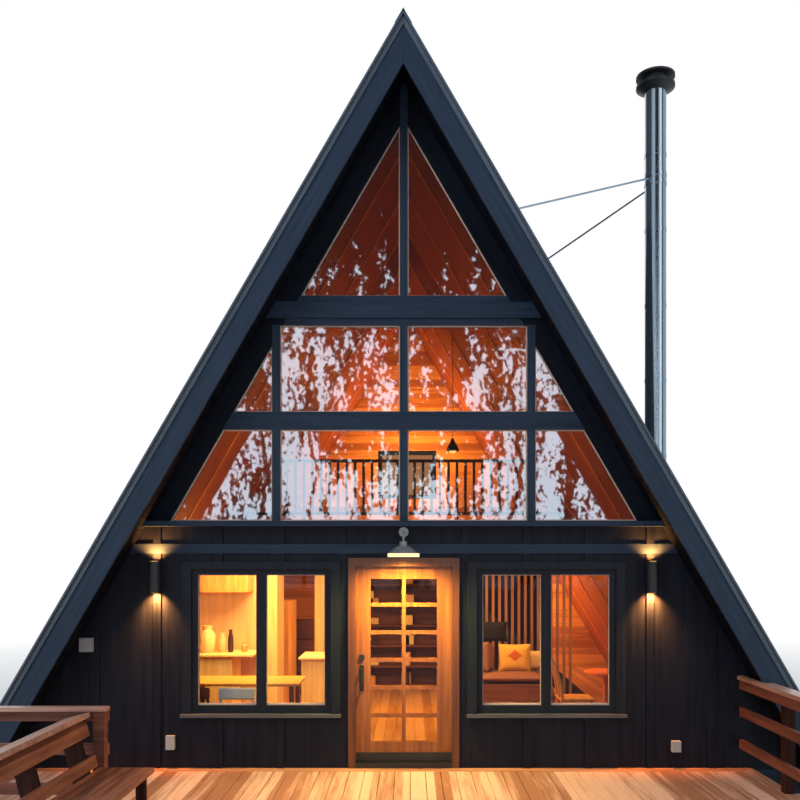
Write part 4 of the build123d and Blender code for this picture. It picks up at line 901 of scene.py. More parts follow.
@dataclass
class RoofCovering:
    """Shingles in courses on both slopes, and metal strips along their ends.

    Attributes:
        exposure: Part of a course that shows, in metres.
        lap: Part of a tab that runs on under the next course.
        tab: Width of a tab.
        slot: Gap between tabs.
        butt: Thickness of a tab's lower edge.
        tip: Thickness of its upper edge.
        base: Thickness of the felt below.
        edge: Width of the metal strips along the gable ends.
        gap: Space between a strip and the felt.
        flue_hole: Radius of the hole round the flue.
    """

    exposure: float = TAB_EXPOSURE
    lap: float = 0.02
    tab: float = 0.305
    slot: float = 0.004
    butt: float = 0.007
    tip: float = 0.002
    base: float = 0.011
    edge: float = 0.026
    gap: float = 0.001
    flue_hole: float = 0.165

    def course(self, parity: int, side: float) -> Piece:
        """One tab of the roof's first or second course, thinned towards its upper edge.

        Args:
            parity: 0 for the first course and 1 for the second, whose tabs are moved by half a tab.
            side: Distance of its first tab from the gable end.

        Returns:
            The tab, laid flat.
        """
        tab = block("tab", (0, side, 0), (self.exposure + self.lap, side + self.tab, self.butt))
        bpy.ops.object.mode_set(mode="EDIT")
        bpy.ops.mesh.select_all(action="DESELECT")
        bpy.ops.object.mode_set(mode="OBJECT")
        for vertex in tab.data.vertices:
            vertex.select = vertex.co.x < self.lap / 2 and vertex.co.z > self.butt / 2
        bpy.ops.object.mode_set(mode="EDIT")
        bpy.ops.transform.translate(value=(0, 0, self.tip - self.butt))
        bpy.ops.object.mode_set(mode="OBJECT")
        tab.data.transform(Matrix.Translation((0, parity * (self.tab + self.slot) / 2, -self.butt)))
        return tab

    def clear_flue(self, layer: Piece, middle: Vector) -> Piece:
        """Opens one layer of the covering round the flue, under its flashing.

        Args:
            layer: The felt, or every second course of tabs.
            middle: A point on the flue's axis.

        Returns:
            The layer.
        """
        clear_selection()
        place = (middle.x, middle.y, 4.0)
        bpy.ops.mesh.primitive_cylinder_add(vertices=32, radius=self.flue_hole, depth=14.0, location=place)
        return carve(layer, bpy.context.object)

    def build(self) -> None:
        """Builds the courses, the felt and the strips, and lays them on both slopes."""
        low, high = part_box("roofing")
        length = (high.z - low.z) / math.sin(SLOPE)
        width = high.y - low.y
        thickness = self.base + self.butt
        courses = int(length // self.exposure)
        top = length - courses * self.exposure
        pitch = self.tab + self.slot
        count = int((width - 2 * self.edge) // pitch)
        side = (width - count * pitch + self.slot) / 2
        rows = []
        for parity in (0, 1):
            tab = self.course(parity, side)
            tab.data.transform(Matrix.Translation((top - self.lap + parity * self.exposure, 0, 0)))
            repeat(tab, (0, pitch, 0), count - parity)
            rows.append(repeat(tab, (2 * self.exposure, 0, 0), (courses + 1 - parity) // 2))
        felt = block("felt", (0, self.edge, -thickness), (length, width - self.edge, -self.butt))
        strip = block("strip", (0, 0, -thickness), (length, self.edge - self.gap, 0.0), 0.002)
        strips = repeat(strip, (0, width - self.edge + self.gap, 0), 2)
        layers = [felt, *rows]
        for piece in (*layers, strips):
            piece.data.transform(on_slope(low.y, high.z))
        edges = settle(weld([strips, mirrored(strips)], "roof_edges"), "roof_edges", EDGE_METAL_PAINTED_HIGHLIGHT)
        other = weld([mirrored(layer) for layer in layers], "shingles_left")
        flue_low, flue_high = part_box("flue_pipe")
        middle = (flue_low + flue_high) / 2
        cover = weld([self.clear_flue(layer, middle) for layer in layers], "shingles_right")
        settle(cover, "shingles_right", SHINGLE)
        settle(other, "shingles_left", SHINGLE)
        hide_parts("roofing")


@dataclass
class DeckBoards:
    """The deck's boards, which run from the wall towards the front edge, and the boards that frame them.

    Attributes:
        gap: Space between boards in metres.
        nominal: Nearest standard board pitch.
        border: Width of the boards along the wall and the right edge.
        bevel: Width of the boards' eased edges.
        inner: Where the left wing's boards end.
        wing: Depth of the left wing.
        joist: Distance between two rows of screws.
        screw: Radius, height and rise over the boards of a screw's head.
        inset: Distance of the first screw from its board's edge and end.
        mitre: Half of the gap in the border's mitred corner.
    """

    gap: float = 0.0055
    nominal: float = 0.146
    border: float = 0.14
    bevel: float = 0.003
    inner: float = -2.4396
    wing: float = 1.75
    joist: float = 0.4064
    screw: Point = (0.0042, 0.0012, 0.0002)
    inset: tuple[float, float] = (0.03, 0.06)
    mitre: float = 0.0015

    def field(self, name: str, low: Vector, high: Vector) -> list[Piece]:
        """Fills a rectangle with boards and their screws.

        Args:
            name: Name of the object.
            low: Lowest corner.
            high: Highest corner.

        Returns:
            The boards and the screws.
        """
        count = round((high.x - low.x) / self.nominal)
        pitch = (high.x - low.x) / count
        board = block(name, (low.x, low.y, low.z), (low.x + pitch - self.gap, high.y, high.z), self.bevel)
        clear_selection()
        radius, depth, rise = self.screw
        side, end = self.inset
        place = (low.x + side, low.y + end, high.z + rise)
        bpy.ops.mesh.primitive_cylinder_add(vertices=6, radius=radius, depth=depth, location=place)
        screw = bpy.context.object
        bpy.ops.object.transform_apply(location=True, rotation=True, scale=True)
        repeat(screw, (pitch - self.gap - 2 * side, 0, 0), 2)
        repeat(screw, (0, self.joist, 0), int((high.y - low.y - 0.1) // self.joist) + 1)
        return [repeat(board, (pitch, 0, 0), count), repeat(screw, (pitch, 0, 0), count)]

    def build(self) -> None:
        """Lays the main deck, its border and its left wing."""
        low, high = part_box("deck_floor")
        edge_x, edge_y = high.x - self.border, high.y - self.border
        end = edge_y - self.gap
        main = self.field("deck_boards", Vector((self.inner, low.y, low.z)), Vector((edge_x, end, high.z)))
        wing_low = Vector((low.x, FRONT - self.wing, low.z))
        wing = self.field("wing_boards", wing_low, Vector((self.inner, end, high.z)))
        along_wall = block("border_wall", (low.x, edge_y, low.z), high, self.bevel)
        along_edge = block("border_edge", (edge_x, low.y, low.z), high, self.bevel)
        corner = Vector((high.x, high.y, 0))
        trim(along_wall, corner - Vector((self.mitre, 0, 0)), (1, -1, 0))
        trim(along_edge, corner - Vector((0, self.mitre, 0)), (-1, 1, 0))
        boards = weld([main[0], wing[0], along_edge], "deck_boards")
        settle(boards, "deck_boards", DECK_WOOD_Y)
        settle(along_wall, "deck_border", BORDER_WOOD_X)
        settle(weld([main[1], wing[1]], "deck_screws"), "deck_screws", BLACK_METAL)
        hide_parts("deck_floor")


@dataclass
class GlazingBeads:
    """Slim strips that hold the panes of the front; their pale colour is a painted highlight along the panes' edges.

    Attributes:
        face: Width of the strips in the gable.
        sash_face: Width of the strips in the windows.
        foot: Width of the strips along a window's foot.
        depth: How far the strips stand out from the panes.
        start: Where the inner pane of the right window starts.
        post: The edges of the post between its panes.
        inset: How far a strip along the foot ends from a pane's edge.
    """

    face: float = 0.012
    sash_face: float = 0.008
    foot: float = 0.022
    depth: float = 0.01
    start: float = 0.782
    post: tuple[float, float] = (1.364, 1.461)
    inset: float = 0.009

    def rings(self, node: str, name: str, face: float) -> Piece:
        """Strips all round the panes of a CAD node, on the front's side only.

        Args:
            node: Name of the CAD node.
            name: Name of the new object.
            face: Width of the strips.

        Returns:
            The object.
        """
        ring = bpy.data.objects.new(name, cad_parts[node].data.copy())
        bpy.context.scene.collection.objects.link(ring)
        select_only(ring)
        bpy.ops.object.mode_set(mode="EDIT")
        bpy.ops.mesh.select_mode(type="FACE")
        bpy.ops.mesh.select_all(action="SELECT")
        bpy.ops.mesh.remove_doubles(threshold=0.00002)
        bpy.ops.object.mode_set(mode="OBJECT")
        for polygon in ring.data.polygons:
            polygon.select = polygon.normal.y > -0.9 or polygon.center.y > 0
        bpy.ops.object.mode_set(mode="EDIT")
        bpy.ops.mesh.delete(type="FACE")
        bpy.ops.mesh.select_all(action="SELECT")
        bpy.ops.mesh.dissolve_limited(angle_limit=0.01)
        bpy.ops.mesh.select_all(action="SELECT")
        bpy.ops.mesh.inset(thickness=face, use_individual=True)
        bpy.ops.mesh.delete(type="FACE")
        bpy.ops.object.mode_set(mode="OBJECT")
        return apply_modifier(ring, "SOLIDIFY", thickness=self.depth, offset=1.0)

    def build(self) -> None:
        """Fits the strips in the gable and in both windows."""
        settle(self.rings("gable_glass", "gable_beads", self.face), "gable_beads", BEAD_PAINTED_HIGHLIGHT)
        strips = [self.rings("window_glass", "window_beads", self.sash_face)]
        low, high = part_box("window_glass")
        front, back = low.y - self.depth - 0.002, low.y - HAIR
        for start, end in ((self.start, self.post[0]), (self.post[1], high.x)):
            left = (start + self.inset, front, low.z + HAIR)
            bar = block("foot", left, (end - self.inset, back, low.z + self.foot), 0.002)
            strips += [bar, mirrored(bar)]
        settle(weld(strips, "window_beads"), "window_beads", BEAD_PAINTED_HIGHLIGHT)


@dataclass
class RoomLining:
    """Boards on the inside of the back wall and cover strips over the ceiling's joints.

    Attributes:
        board: Pitch of the wall boards.
        thick: Thickness of the wall boards.
        reach: Half of their length before they are cut to the slopes.
        joint: Gap between wall boards.
        strip: Width of the ceiling strips.
        proud: Thickness of the ceiling strips.
        first: Distance of the first strip from the front wall's face.
        pitch: Distance from one strip to the next.
        bays: Number of strips in each half of the cabin's length.
        window_room: How far the boards stay from the windows.
        wall_room: Space between the wall boards and the floors.
        floor_room: Space between the strips and the floors.
        ridge_room: How far under the ridge the strips start.
    """

    board: float = WALL_BOARD
    thick: float = 0.01
    reach: float = 4.1
    joint: float = 0.003
    strip: float = 0.045
    proud: float = 0.012
    first: float = FIRST_STRIP
    pitch: float = PANEL_PITCH
    bays: int = 3
    window_room: float = 0.02
    wall_room: float = 0.002
    floor_room: float = 0.012
    ridge_room: float = 0.03

    def wall_field(self, low: float, high: float) -> Piece:
        """Boards across the back wall between two levels.

        Args:
            low: Lower level.
            high: Upper level.

        Returns:
            The boards, cut to the slopes.
        """
        count = round((high - low) / self.board)
        pitch = (high - low) / count
        back = BACK_INSIDE - HAIR
        top = low + pitch - self.joint
        board = block("wall_board", (-self.reach, back - self.thick, low), (self.reach, back, top), 0.002)
        repeat(board, (0, 0, pitch), count)
        for side in (-1, 1):
            trim_to_slope(board, side)
        return board

    def strips(self, upper: float, lower: float, start: float) -> Piece:
        """Cover strips down the right slope between two levels.

        Args:
            upper: Upper level.
            lower: Lower level.
            start: Place of the first strip.

        Returns:
            The strips.
        """
        top, foot = ((ROOM_APEX - level) / math.sin(SLOPE) for level in (upper, lower))
        strip = block("strip", (top, 0, -self.proud), (foot, self.strip, -HAIR), 0.002)
        strip.data.transform(on_slope(start, ROOM_APEX))
        return repeat(strip, (0, self.pitch, 0), self.bays)

    def build(self) -> None:
        """Lines the back wall and covers the ceiling's joints."""
        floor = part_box("cabin_floor")[1].z
        loft_low, loft_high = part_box("loft_floor")
        below = self.wall_field(floor + self.wall_room, loft_low.z - self.wall_room)
        above = self.wall_field(loft_high.z + self.wall_room, ROOM_APEX)
        boards = weld([below, above], "wall_boards")
        open_back_windows(boards, BACK_INSIDE, self.window_room)
        settle(boards, "wall_boards", WALL_BOARDS)
        start, foot = FRONT + self.first, floor + self.floor_room
        half_way = start + self.bays * self.pitch
        rows = [
            self.strips(ROOM_APEX - self.ridge_room, foot, start),
            self.strips(ROOM_APEX - self.ridge_room, loft_high.z + self.floor_room, half_way),
            self.strips(loft_low.z - self.floor_room, foot, half_way),
        ]
        strips = weld(rows, "ceiling_strips")
        other = mirrored(strips)
        settle(strips, "ceiling_strips_right", STRIP_WOOD)
        settle(other, "ceiling_strips_left", STRIP_WOOD)


@dataclass
class BackBattens:
    """Upright battens over the joints of the back wall, as on the front.

    Attributes:
        pitch: Distance between battens.
        face: Width of a batten.
        thick: Thickness of a batten.
        belt: Lower and upper edge of the belt between the storeys.
        belt_room: Space between the belt and the battens.
        foot: Space between the deck's level and the battens.
        each_side: Number of battens on each side of the middle one.
        window_room: How far the battens stay from the windows, for their casings.
    """

    pitch: float = 0.6096
    face: float = 0.038
    thick: float = 0.018
    belt: tuple[float, float] = (2.724, 2.818)
    belt_room: float = 0.001
    foot: float = 0.002
    each_side: int = 6
    window_room: float = 0.097

    def build(self) -> None:
        """Fixes the battens above and below the belt, clear of the windows."""
        y = BACK_OUTSIDE + HAIR
        below = (DECK_TOP + self.foot, self.belt[0] - self.belt_room)
        above = (self.belt[1] + self.belt_room, ROOM_APEX)
        battens = []
        for low, high in (below, above):
            for number in range(-self.each_side, self.each_side + 1):
                left, right = (number * self.pitch + side * self.face / 2 for side in (-1, 1))
                battens.append(block("batten", (left, y, low), (right, y + self.thick, high), 0.003))
        wall = weld(battens, "back_battens")
        for side in (-1, 1):
            trim_to_slope(wall, side)
        open_back_windows(wall, BACK_OUTSIDE, self.window_room)
        settle(wall, "back_battens", SIDING)


@dataclass
class WallLights:
    """Lenses of the two wall lamps, the door lamp's bulb, and a glowing ring over its shade's rim as a painted
    highlight.

    Attributes:
        lens: Rings of a lens.
        lens_room: Space between a lens and its lamp.
        bulb: Rings of the door lamp's bulb.
        bulb_rise: Height of the bulb's foot over the shade's lower edge.
        rim: Outer radius of the glowing ring.
        rim_wall: Thickness of the rim.
        rim_height: Height of the rim.
        rim_rise: Height of its middle over the shade's lower edge.
    """

    lens: Profile = ((0.04, 0.0), (0.036, 0.001), (0.024, 0.0022), (0.012, 0.003))
    lens_room: float = 0.0003
    bulb: Profile = ((0.0135, 0.0), (0.03375, 0.008), (0.045, 0.028), (0.0414, 0.045), (0.02, 0.075), (0.018, 0.1))
    bulb_rise: float = 0.004
    rim: float = 0.1516
    rim_wall: float = 0.0012
    rim_height: float = 0.034
    rim_rise: float = 0.019

    def build(self) -> None:
        """Fits lenses, bulb and rim."""
        low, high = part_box("wall_lamps")
        up = turned("lens", self.lens, (high.x - LAMP_RADIUS, low.y + LAMP_RADIUS, high.z + self.lens_room))
        turn_over = Matrix.Translation((0, 0, low.z + high.z)) @ Matrix.Scale(-1, 4, (0, 0, 1))
        down = copy_of(up, turn_over)
        settle(weld([up, down, mirrored(up), mirrored(down)], "wall_lenses"), "wall_lenses", WARM_LENS)
        shade_low, shade_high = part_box("lamp_shade")
        y = (shade_low.y + shade_high.y) / 2
        settle(turned("bulb", self.bulb, (0, y, shade_low.z + self.bulb_rise), 20), "door_bulb", WARM_BULB)
        # Glowing ring over the shade's metal rim: painted highlight of the rim in the bulb's light.
        clear_selection()
        place = (0, y, shade_low.z + self.rim_rise)
        bpy.ops.mesh.primitive_cylinder_add(
            vertices=48, radius=self.rim, depth=self.rim_height, location=place, end_fill_type="NOTHING"
        )
        ring = bpy.context.object
        bpy.ops.object.transform_apply(location=True, rotation=True, scale=True)
        apply_modifier(ring, "SOLIDIFY", thickness=self.rim_wall, offset=-1.0)
        settle(ring, "door_lamp_rim_painted_highlight", RIM_PAINTED_HIGHLIGHT)


@dataclass
class Pendant:
    """The lamp that hangs in the open room on a rigid stem.

    Attributes:
        place: Middle of the shade's foot.
        shade: Rings of the shade.
        bulb: Rings of the bulb.
        bulb_drop: How far the bulb's foot hangs under the shade's.
        stem: Radius of the stem.
        ceiling_room: Space between the stem and the ceiling.
    """

    place: Point = (0.64, 0.95, 4.15)
    shade: Profile = ((0.085, 0.0), (0.085, 0.01), (0.068, 0.06), (0.02975, 0.13), (0.015, 0.17))
    bulb: Profile = ((0.02, 0.0), (0.045, 0.015), (0.05, 0.03))
    bulb_drop: float = 0.032
    stem: float = 0.004
    ceiling_room: float = 0.02

    def build(self) -> None:
        """Hangs the stem, the shade and the bulb."""
        x, y, z = self.place
        ceiling = ROOM_APEX - x * math.tan(SLOPE)
        foot = z + self.shade[-1][1]
        rod = ((self.stem, 0.0), (self.stem, ceiling - foot - self.ceiling_room))
        stem = turned("stem", rod, (x, y, foot), 8)
        shade = turned("shade", self.shade, (x, y, z))
        settle(weld([shade, stem], "pendant"), "pendant", BLACK_METAL)
        settle(turned("bulb", self.bulb, (x, y, z - self.bulb_drop), 16), "pendant_bulb", WARM_LENS)


@dataclass(frozen=True)
class Cushion:
    """A stuffed cushion: full in the middle, drawn in between its corners.

    Attributes:
        name: Name of the cushion.
        low: Lowest corner, its second number counted from the front wall's face.
        high: Highest corner, counted alike.
        crown: How far each edge draws in, as a share of its length.
        finish: Its cloth.
        diamond: The cloth of a diamond on its front, if it has one.
        diamond_half: Half of the diamond's width.
        diamond_rise: Height of the diamond's middle over the cushion's.
        seam: Thickness of the cushion at its seam, as a share of that in its middle.
    """

    name: str
    low: Point
    high: Point
    crown: float
    finish: Finish
    diamond: Finish | None = None
    diamond_half: float = 0.1
    diamond_rise: float = 0.03
    seam: float = 0.12

    def swell(self, piece: Piece, low: Vector, high: Vector) -> None:
        """Moves a divided block's corners to a cushion's shape.

        Args:
            piece: The block.
            low: Its lowest corner.
            high: Its highest corner.
        """
        middle, half = (low + high) / 2, (high - low) / 2
        thin = min(range(3), key=lambda axis: half[axis])
        wide, long = (axis for axis in range(3) if axis != thin)
        for vertex in piece.data.vertices:
            share = [(vertex.co[axis] - middle[axis]) / half[axis] for axis in range(3)]
            a, b = share[wide], share[long]
            full = max(0.0, (1 - abs(a) ** 3.5)) * max(0.0, (1 - abs(b) ** 3.5))
            offset = Vector((0.0, 0.0, 0.0))
            offset[thin] = share[thin] * half[thin] * (self.seam + (1 - self.seam) * full**0.5)
            offset[wide] = a * half[wide] * (1 - self.crown * (1 - b * b))
            offset[long] = b * half[long] * (1 - self.crown * (1 - a * a))
            vertex.co = middle + offset

    def patch(self, piece: Piece, cloth: Finish) -> None:
        """Dresses the diamond on the cushion's front.

        Args:
            piece: The cushion.
            cloth: The diamond's cloth.
        """
        piece.data.materials.append(material_of(cloth))
        middle = sum((Vector(corner) for corner in piece.bound_box), Vector()) / 8
        for polygon in piece.data.polygons:
            away = polygon.center - middle
            if away.y < 0 and abs(away.x) + 1.25 * abs(away.z - self.diamond_rise) < self.diamond_half:
                polygon.material_index = 1

    def build(self) -> None:
        """Builds and dresses the cushion."""
        low, high = (Vector(corner) + Vector((0, FRONT, 0)) for corner in (self.low, self.high))
        piece = block(self.name, low, high)
        subdivide(piece, 9)
        self.swell(piece, low, high)
        apply_modifier(piece, "SUBSURF", levels=1, render_levels=1)
        bpy.ops.object.shade_smooth()
        settle(piece, self.name, self.finish)
        if self.diamond:
            self.patch(piece, self.diamond)


@dataclass(frozen=True)
class Case:
    """A panel, top or case of furniture.

    Attributes:
        name: Name of the piece.
        low: Lowest corner, its second number counted from the front wall's face.
        high: Highest corner, counted alike.
        finish: Its finish.
        bevel: Width of its eased edges.
        side: Side on which it is cut off under the ceiling, 1 or -1, or 0 if it isn't.
    """

    name: str
    low: Point
    high: Point
    finish: Finish
    bevel: float = 0.004
    side: int = 0

    def build(self) -> None:
        """Builds the piece on the cabin."""
        low, high = (Vector(corner) + Vector((0, FRONT, 0)) for corner in (self.low, self.high))
        piece = block(self.name, low, high, self.bevel)
        if self.side:
            trim_to_slope(piece, self.side)
        settle(piece, self.name, self.finish)


def drawer_fronts(low: Point, size: Point, pitch: float, count: int) -> list[Case]:
    """Drawer fronts, one above another.

    Args:
        low: Lowest corner of the first, its second number counted from the front wall's face.
        size: Width, thickness and height of each.
        pitch: Distance from one to the next.
        count: Number of fronts.

    Returns:
        The fronts.
    """
    x, y, z = low
    width, thick, height = size
    fronts = []
    for number in range(count):
        foot = z + number * pitch
        high = (x + width, y + thick, foot + height)
        fronts.append(Case(f"drawer_{number}", (x, y, foot), high, DRESSER, 0.003))
    return fronts


@dataclass(frozen=True)
class Legs:
    """Four legs of a piece of furniture.

    Attributes:
        name: Name of the legs.
        low: Lowest corner of the first, its second number counted from the front wall's face.
        high: Its highest corner, counted alike.
        apart: Distances from leg to leg across and along the cabin.
        bevel: Width of their eased edges.
        finish: Their finish, where they are a piece of their own.
    """

    name: str
    low: Point
    high: Point
    apart: tuple[float, float]
    bevel: float = 0.003
    finish: Finish | None = None

    def build(self) -> Piece:
        """Builds the legs.

        Returns:
            The legs, as one object.
        """
        low, high = (Vector(corner) + Vector((0, FRONT, 0)) for corner in (self.low, self.high))
        leg = repeat(block(self.name, low, high, self.bevel), (self.apart[0], 0, 0), 2)
        legs = repeat(leg, (0, self.apart[1], 0), 2)
        return settle(legs, self.name, self.finish) if self.finish else legs


@dataclass(frozen=True)
class Chair:
    """A chair with its back to the window.

    Attributes:
        name: Name of the chair.
        x: Its middle.
        y: Distance of its back from the front wall's face.
        finish: Its finish.
        seat: Height of the seat's underside over the floor.
        half: Half of the seat's width.
        depth: Depth of the seat.
        board: Thickness of the seat.
        leg: Width of a leg.
        inset: How far the legs stand in from the seat's sides.
        back_leg: Distance of the back legs from the chair's back.
        legs_apart: Distance between the front and the back legs.
        recess: Distance of the seat and the uprights from the chair's back.
        past: How far the back's rail reaches past the uprights.
        stile: Width and thickness of the back's uprights.
        rail: Lower and upper edge of the back's rail over the floor.
    """

    name: str
    x: float
    y: float
    finish: Finish
    seat: float = 0.45
    half: float = 0.2
    depth: float = 0.4
    board: float = 0.03
    leg: float = 0.035
    inset: float = 0.02
    back_leg: float = 0.03
    legs_apart: float = 0.33
    recess: float = 0.02
    past: float = 0.005
    stile: tuple[float, float] = (0.03, 0.025)
    rail: tuple[float, float] = (0.62, 0.74)

    def build(self) -> None:
        """Builds the chair."""
        x, front = self.x, FRONT + self.y + self.recess
        outer = self.half - self.inset
        level = FLOOR_LEVEL + self.seat
        foot, head = (FLOOR_LEVEL + height for height in self.rail)
        leg_low = (x - outer, self.y + self.back_leg, FLOOR_LEVEL)
        leg_high = (x - outer + self.leg, self.y + self.back_leg + self.leg, level)
        width, thick = self.stile
        seat_high = (x + self.half, front + self.depth, level + self.board)
        rail_low = (x - outer - self.past, front - self.past, foot + HAIR)
        rail_high = (x + outer + self.past, front + thick, head)
        pieces = [
            Legs(self.name, leg_low, leg_high, (2 * outer - self.leg, self.legs_apart)).build(),
            block(self.name, (x - self.half, front, level), seat_high, 0.008),
            block(self.name, rail_low, rail_high, 0.012),
        ]
        for left in (x - outer, x + outer - width):
            low = (left, front, level + self.board + HAIR)
            pieces.append(block(self.name, low, (left + width, front + thick, foot), 0.004))
        settle(weld(pieces, self.name), self.name, self.finish)


@dataclass(frozen=True)
class LightChair:
    """The light chair beside the sofa, whose back leans to the left.

    Attributes:
        left: Left edge of the seat.
        front: Distance of the seat from the front wall's face.
        size: Width, depth and thickness of the seat.
        leg: Width of a leg.
        leg_inset: How far the first leg stands in from the seat's left and front edge.
        legs_apart: Distances between the legs across and along the cabin.
        stiles: Places of the back's uprights along the cabin.
        stile_inset: How far they stand in from the seat's left edge.
        stile: Thickness and width of an upright.
        head: Height of the uprights' upper ends over the seat's underside.
        lean: How far the uprights lean at their upper ends.
    """

    left: float = 1.72
    front: float = 0.95
    size: Point = (0.38, 0.4, 0.03)
    leg: float = 0.035
    leg_inset: tuple[float, float] = (0.01, 0.02)
    legs_apart: tuple[float, float] = (0.32, 0.33)
    stiles: Point = (0.955, 1.125, 1.3)
    stile_inset: float = 0.005
    stile: tuple[float, float] = (0.03, 0.04)
    head: float = 0.5
    lean: float = 0.13

    def upright(self, place: float) -> Piece:
        """One upright of the back, bent to its lean.

        Args:
            place: Its distance from the front wall's face.

        Returns:
            The upright.
        """
        x, y, z = self.left + self.stile_inset, FRONT + place, LIGHT_SEAT + self.size[2]
        thick, width = self.stile
        stile = block("chair", (x, y, z + HAIR), (x + thick, y + width, LIGHT_SEAT + self.head), 0.005)
        subdivide(stile, 5)
        for vertex in stile.data.vertices:
            rise = (vertex.co.z - z) / (self.head - self.size[2])
            vertex.co.x -= self.lean * rise**2
        return stile

    def build(self) -> None:
        """Builds the chair."""
        x, y = self.left, FRONT + self.front
        width, depth, thick = self.size
        aside, behind = self.leg_inset
        low = (x + aside, self.front + behind, FLOOR_LEVEL)
        high = (x + aside + self.leg, self.front + behind + self.leg, LIGHT_SEAT - HAIR)
        pieces = [
            block("chair", (x, y, LIGHT_SEAT), (x + width, y + depth, LIGHT_SEAT + thick), 0.008),
            Legs("chair", low, high, self.legs_apart).build(),
            *(self.upright(place) for place in self.stiles),
        ]
        settle(weld(pieces, "chair_light"), "chair_light", HONEY)


@dataclass(frozen=True)
class Jar:
    """A jar on the kitchen's counter.

    Attributes:
        x: Its middle.
        radius: Its greatest radius.
        height: Its height.
        finish: Its finish.
        y: Distance of its middle from the front wall's face.
    """

    x: float
    radius: float
    height: float
    finish: Finish
    y: float = 2.2

    def build(self, number: int) -> None:
        """Builds the jar.

        Args:
            number: Its number in its name.
        """
        wide, high = self.radius, self.height
        rings = ((wide * 0.8, 0.0), (wide, 0.03), (wide, high * 0.65), (wide * 0.55, high * 0.85), (wide * 0.6, high))
        jar = turned("jar", rings, (self.x, FRONT + self.y, COUNTER_TOP + HAIR), 20)
        settle(jar, f"jar_{number}", self.finish)


@dataclass
class Kitchen:
    """What shows behind the left window: table, chairs, cupboards and jars.

    Attributes:
        pieces: The furniture, from the window inwards.
        jars: The jars on the counter.
    """

    pieces: tuple[Case | Legs | Chair, ...] = (
        Case("table_top", (-2.35, 0.62, TABLE_TOP - 0.03), (-1.12, 1.27, TABLE_TOP), HONEY, 0.006),
        Legs(
            "table_legs", (-2.3, 0.66, FLOOR_LEVEL), (-2.25, 0.71, TABLE_TOP - 0.031), (1.07, 0.5), 0.004,
            DRESSER,
        ),
        Chair("chair_grey", -1.7, 0.2, GREY_PLASTIC),
        Chair("chair_brown", -2.16, 0.2, DRESSER),
        Case("counter_case", (-3.0, 1.92, FLOOR_LEVEL), (-2.1, 2.5, COUNTER_TOP - 0.031), CREAM),
        Case("counter_top", (-3.0, 1.88, COUNTER_TOP - 0.03), (-1.84, 2.52, COUNTER_TOP), CREAM, 0.006),
        Case("kitchen_wall", (-3.4, 2.56, FLOOR_LEVEL), (-1.84, 2.6, 2.98), PEACH, 0.002, -1),
        Case("hood", (-2.6, 2.16, 2.26), (-1.95, 2.559, 2.62), HONEY, 0.008),
        Case("island_case", (-1.22, 1.62, FLOOR_LEVEL), (-0.72, 2.2, COUNTER_TOP - 0.031), PEACH),
        Case("island_top", (-1.25, 1.58, COUNTER_TOP - 0.03), (-0.7, 2.24, COUNTER_TOP), CREAM, 0.006),
        Case("tall_case", (-1.97, 2.7, FLOOR_LEVEL), (-1.67, 3.3, FLOOR_LEVEL + 2.0), CREAM),
        Case("wood_case", (-1.8, 3.5, FLOOR_LEVEL), (-1.59, 4.0, FLOOR_LEVEL + 1.48), HONEY),
        Case("loft_post", (-1.35, 4.2, FLOOR_LEVEL), (-1.21, 4.34, 3.069), CREAM),
        *drawer_fronts((-1.78, 4.58, FLOOR_LEVEL + 0.04), (0.38, 0.02, 0.255), 0.27, 4),
        Case("drawer_case", (-1.8, 4.601, FLOOR_LEVEL), (-1.38, 5.0, FLOOR_LEVEL + 1.13), DRESSER),
    )
    jars: tuple[Jar, ...] = (
        Jar(-2.46, 0.1, 0.33, CREAM),
        Jar(-2.28, 0.055, 0.24, PEACH),
        Jar(-2.17, 0.035, 0.28, DARK_STAIN),
        Jar(-2.0, 0.04, 0.12, HONEY),
    )

    def build(self) -> None:
        """Places the kitchen's pieces."""
        for piece in self.pieces:
            piece.build()
        for number, jar in enumerate(self.jars):
            jar.build(number)


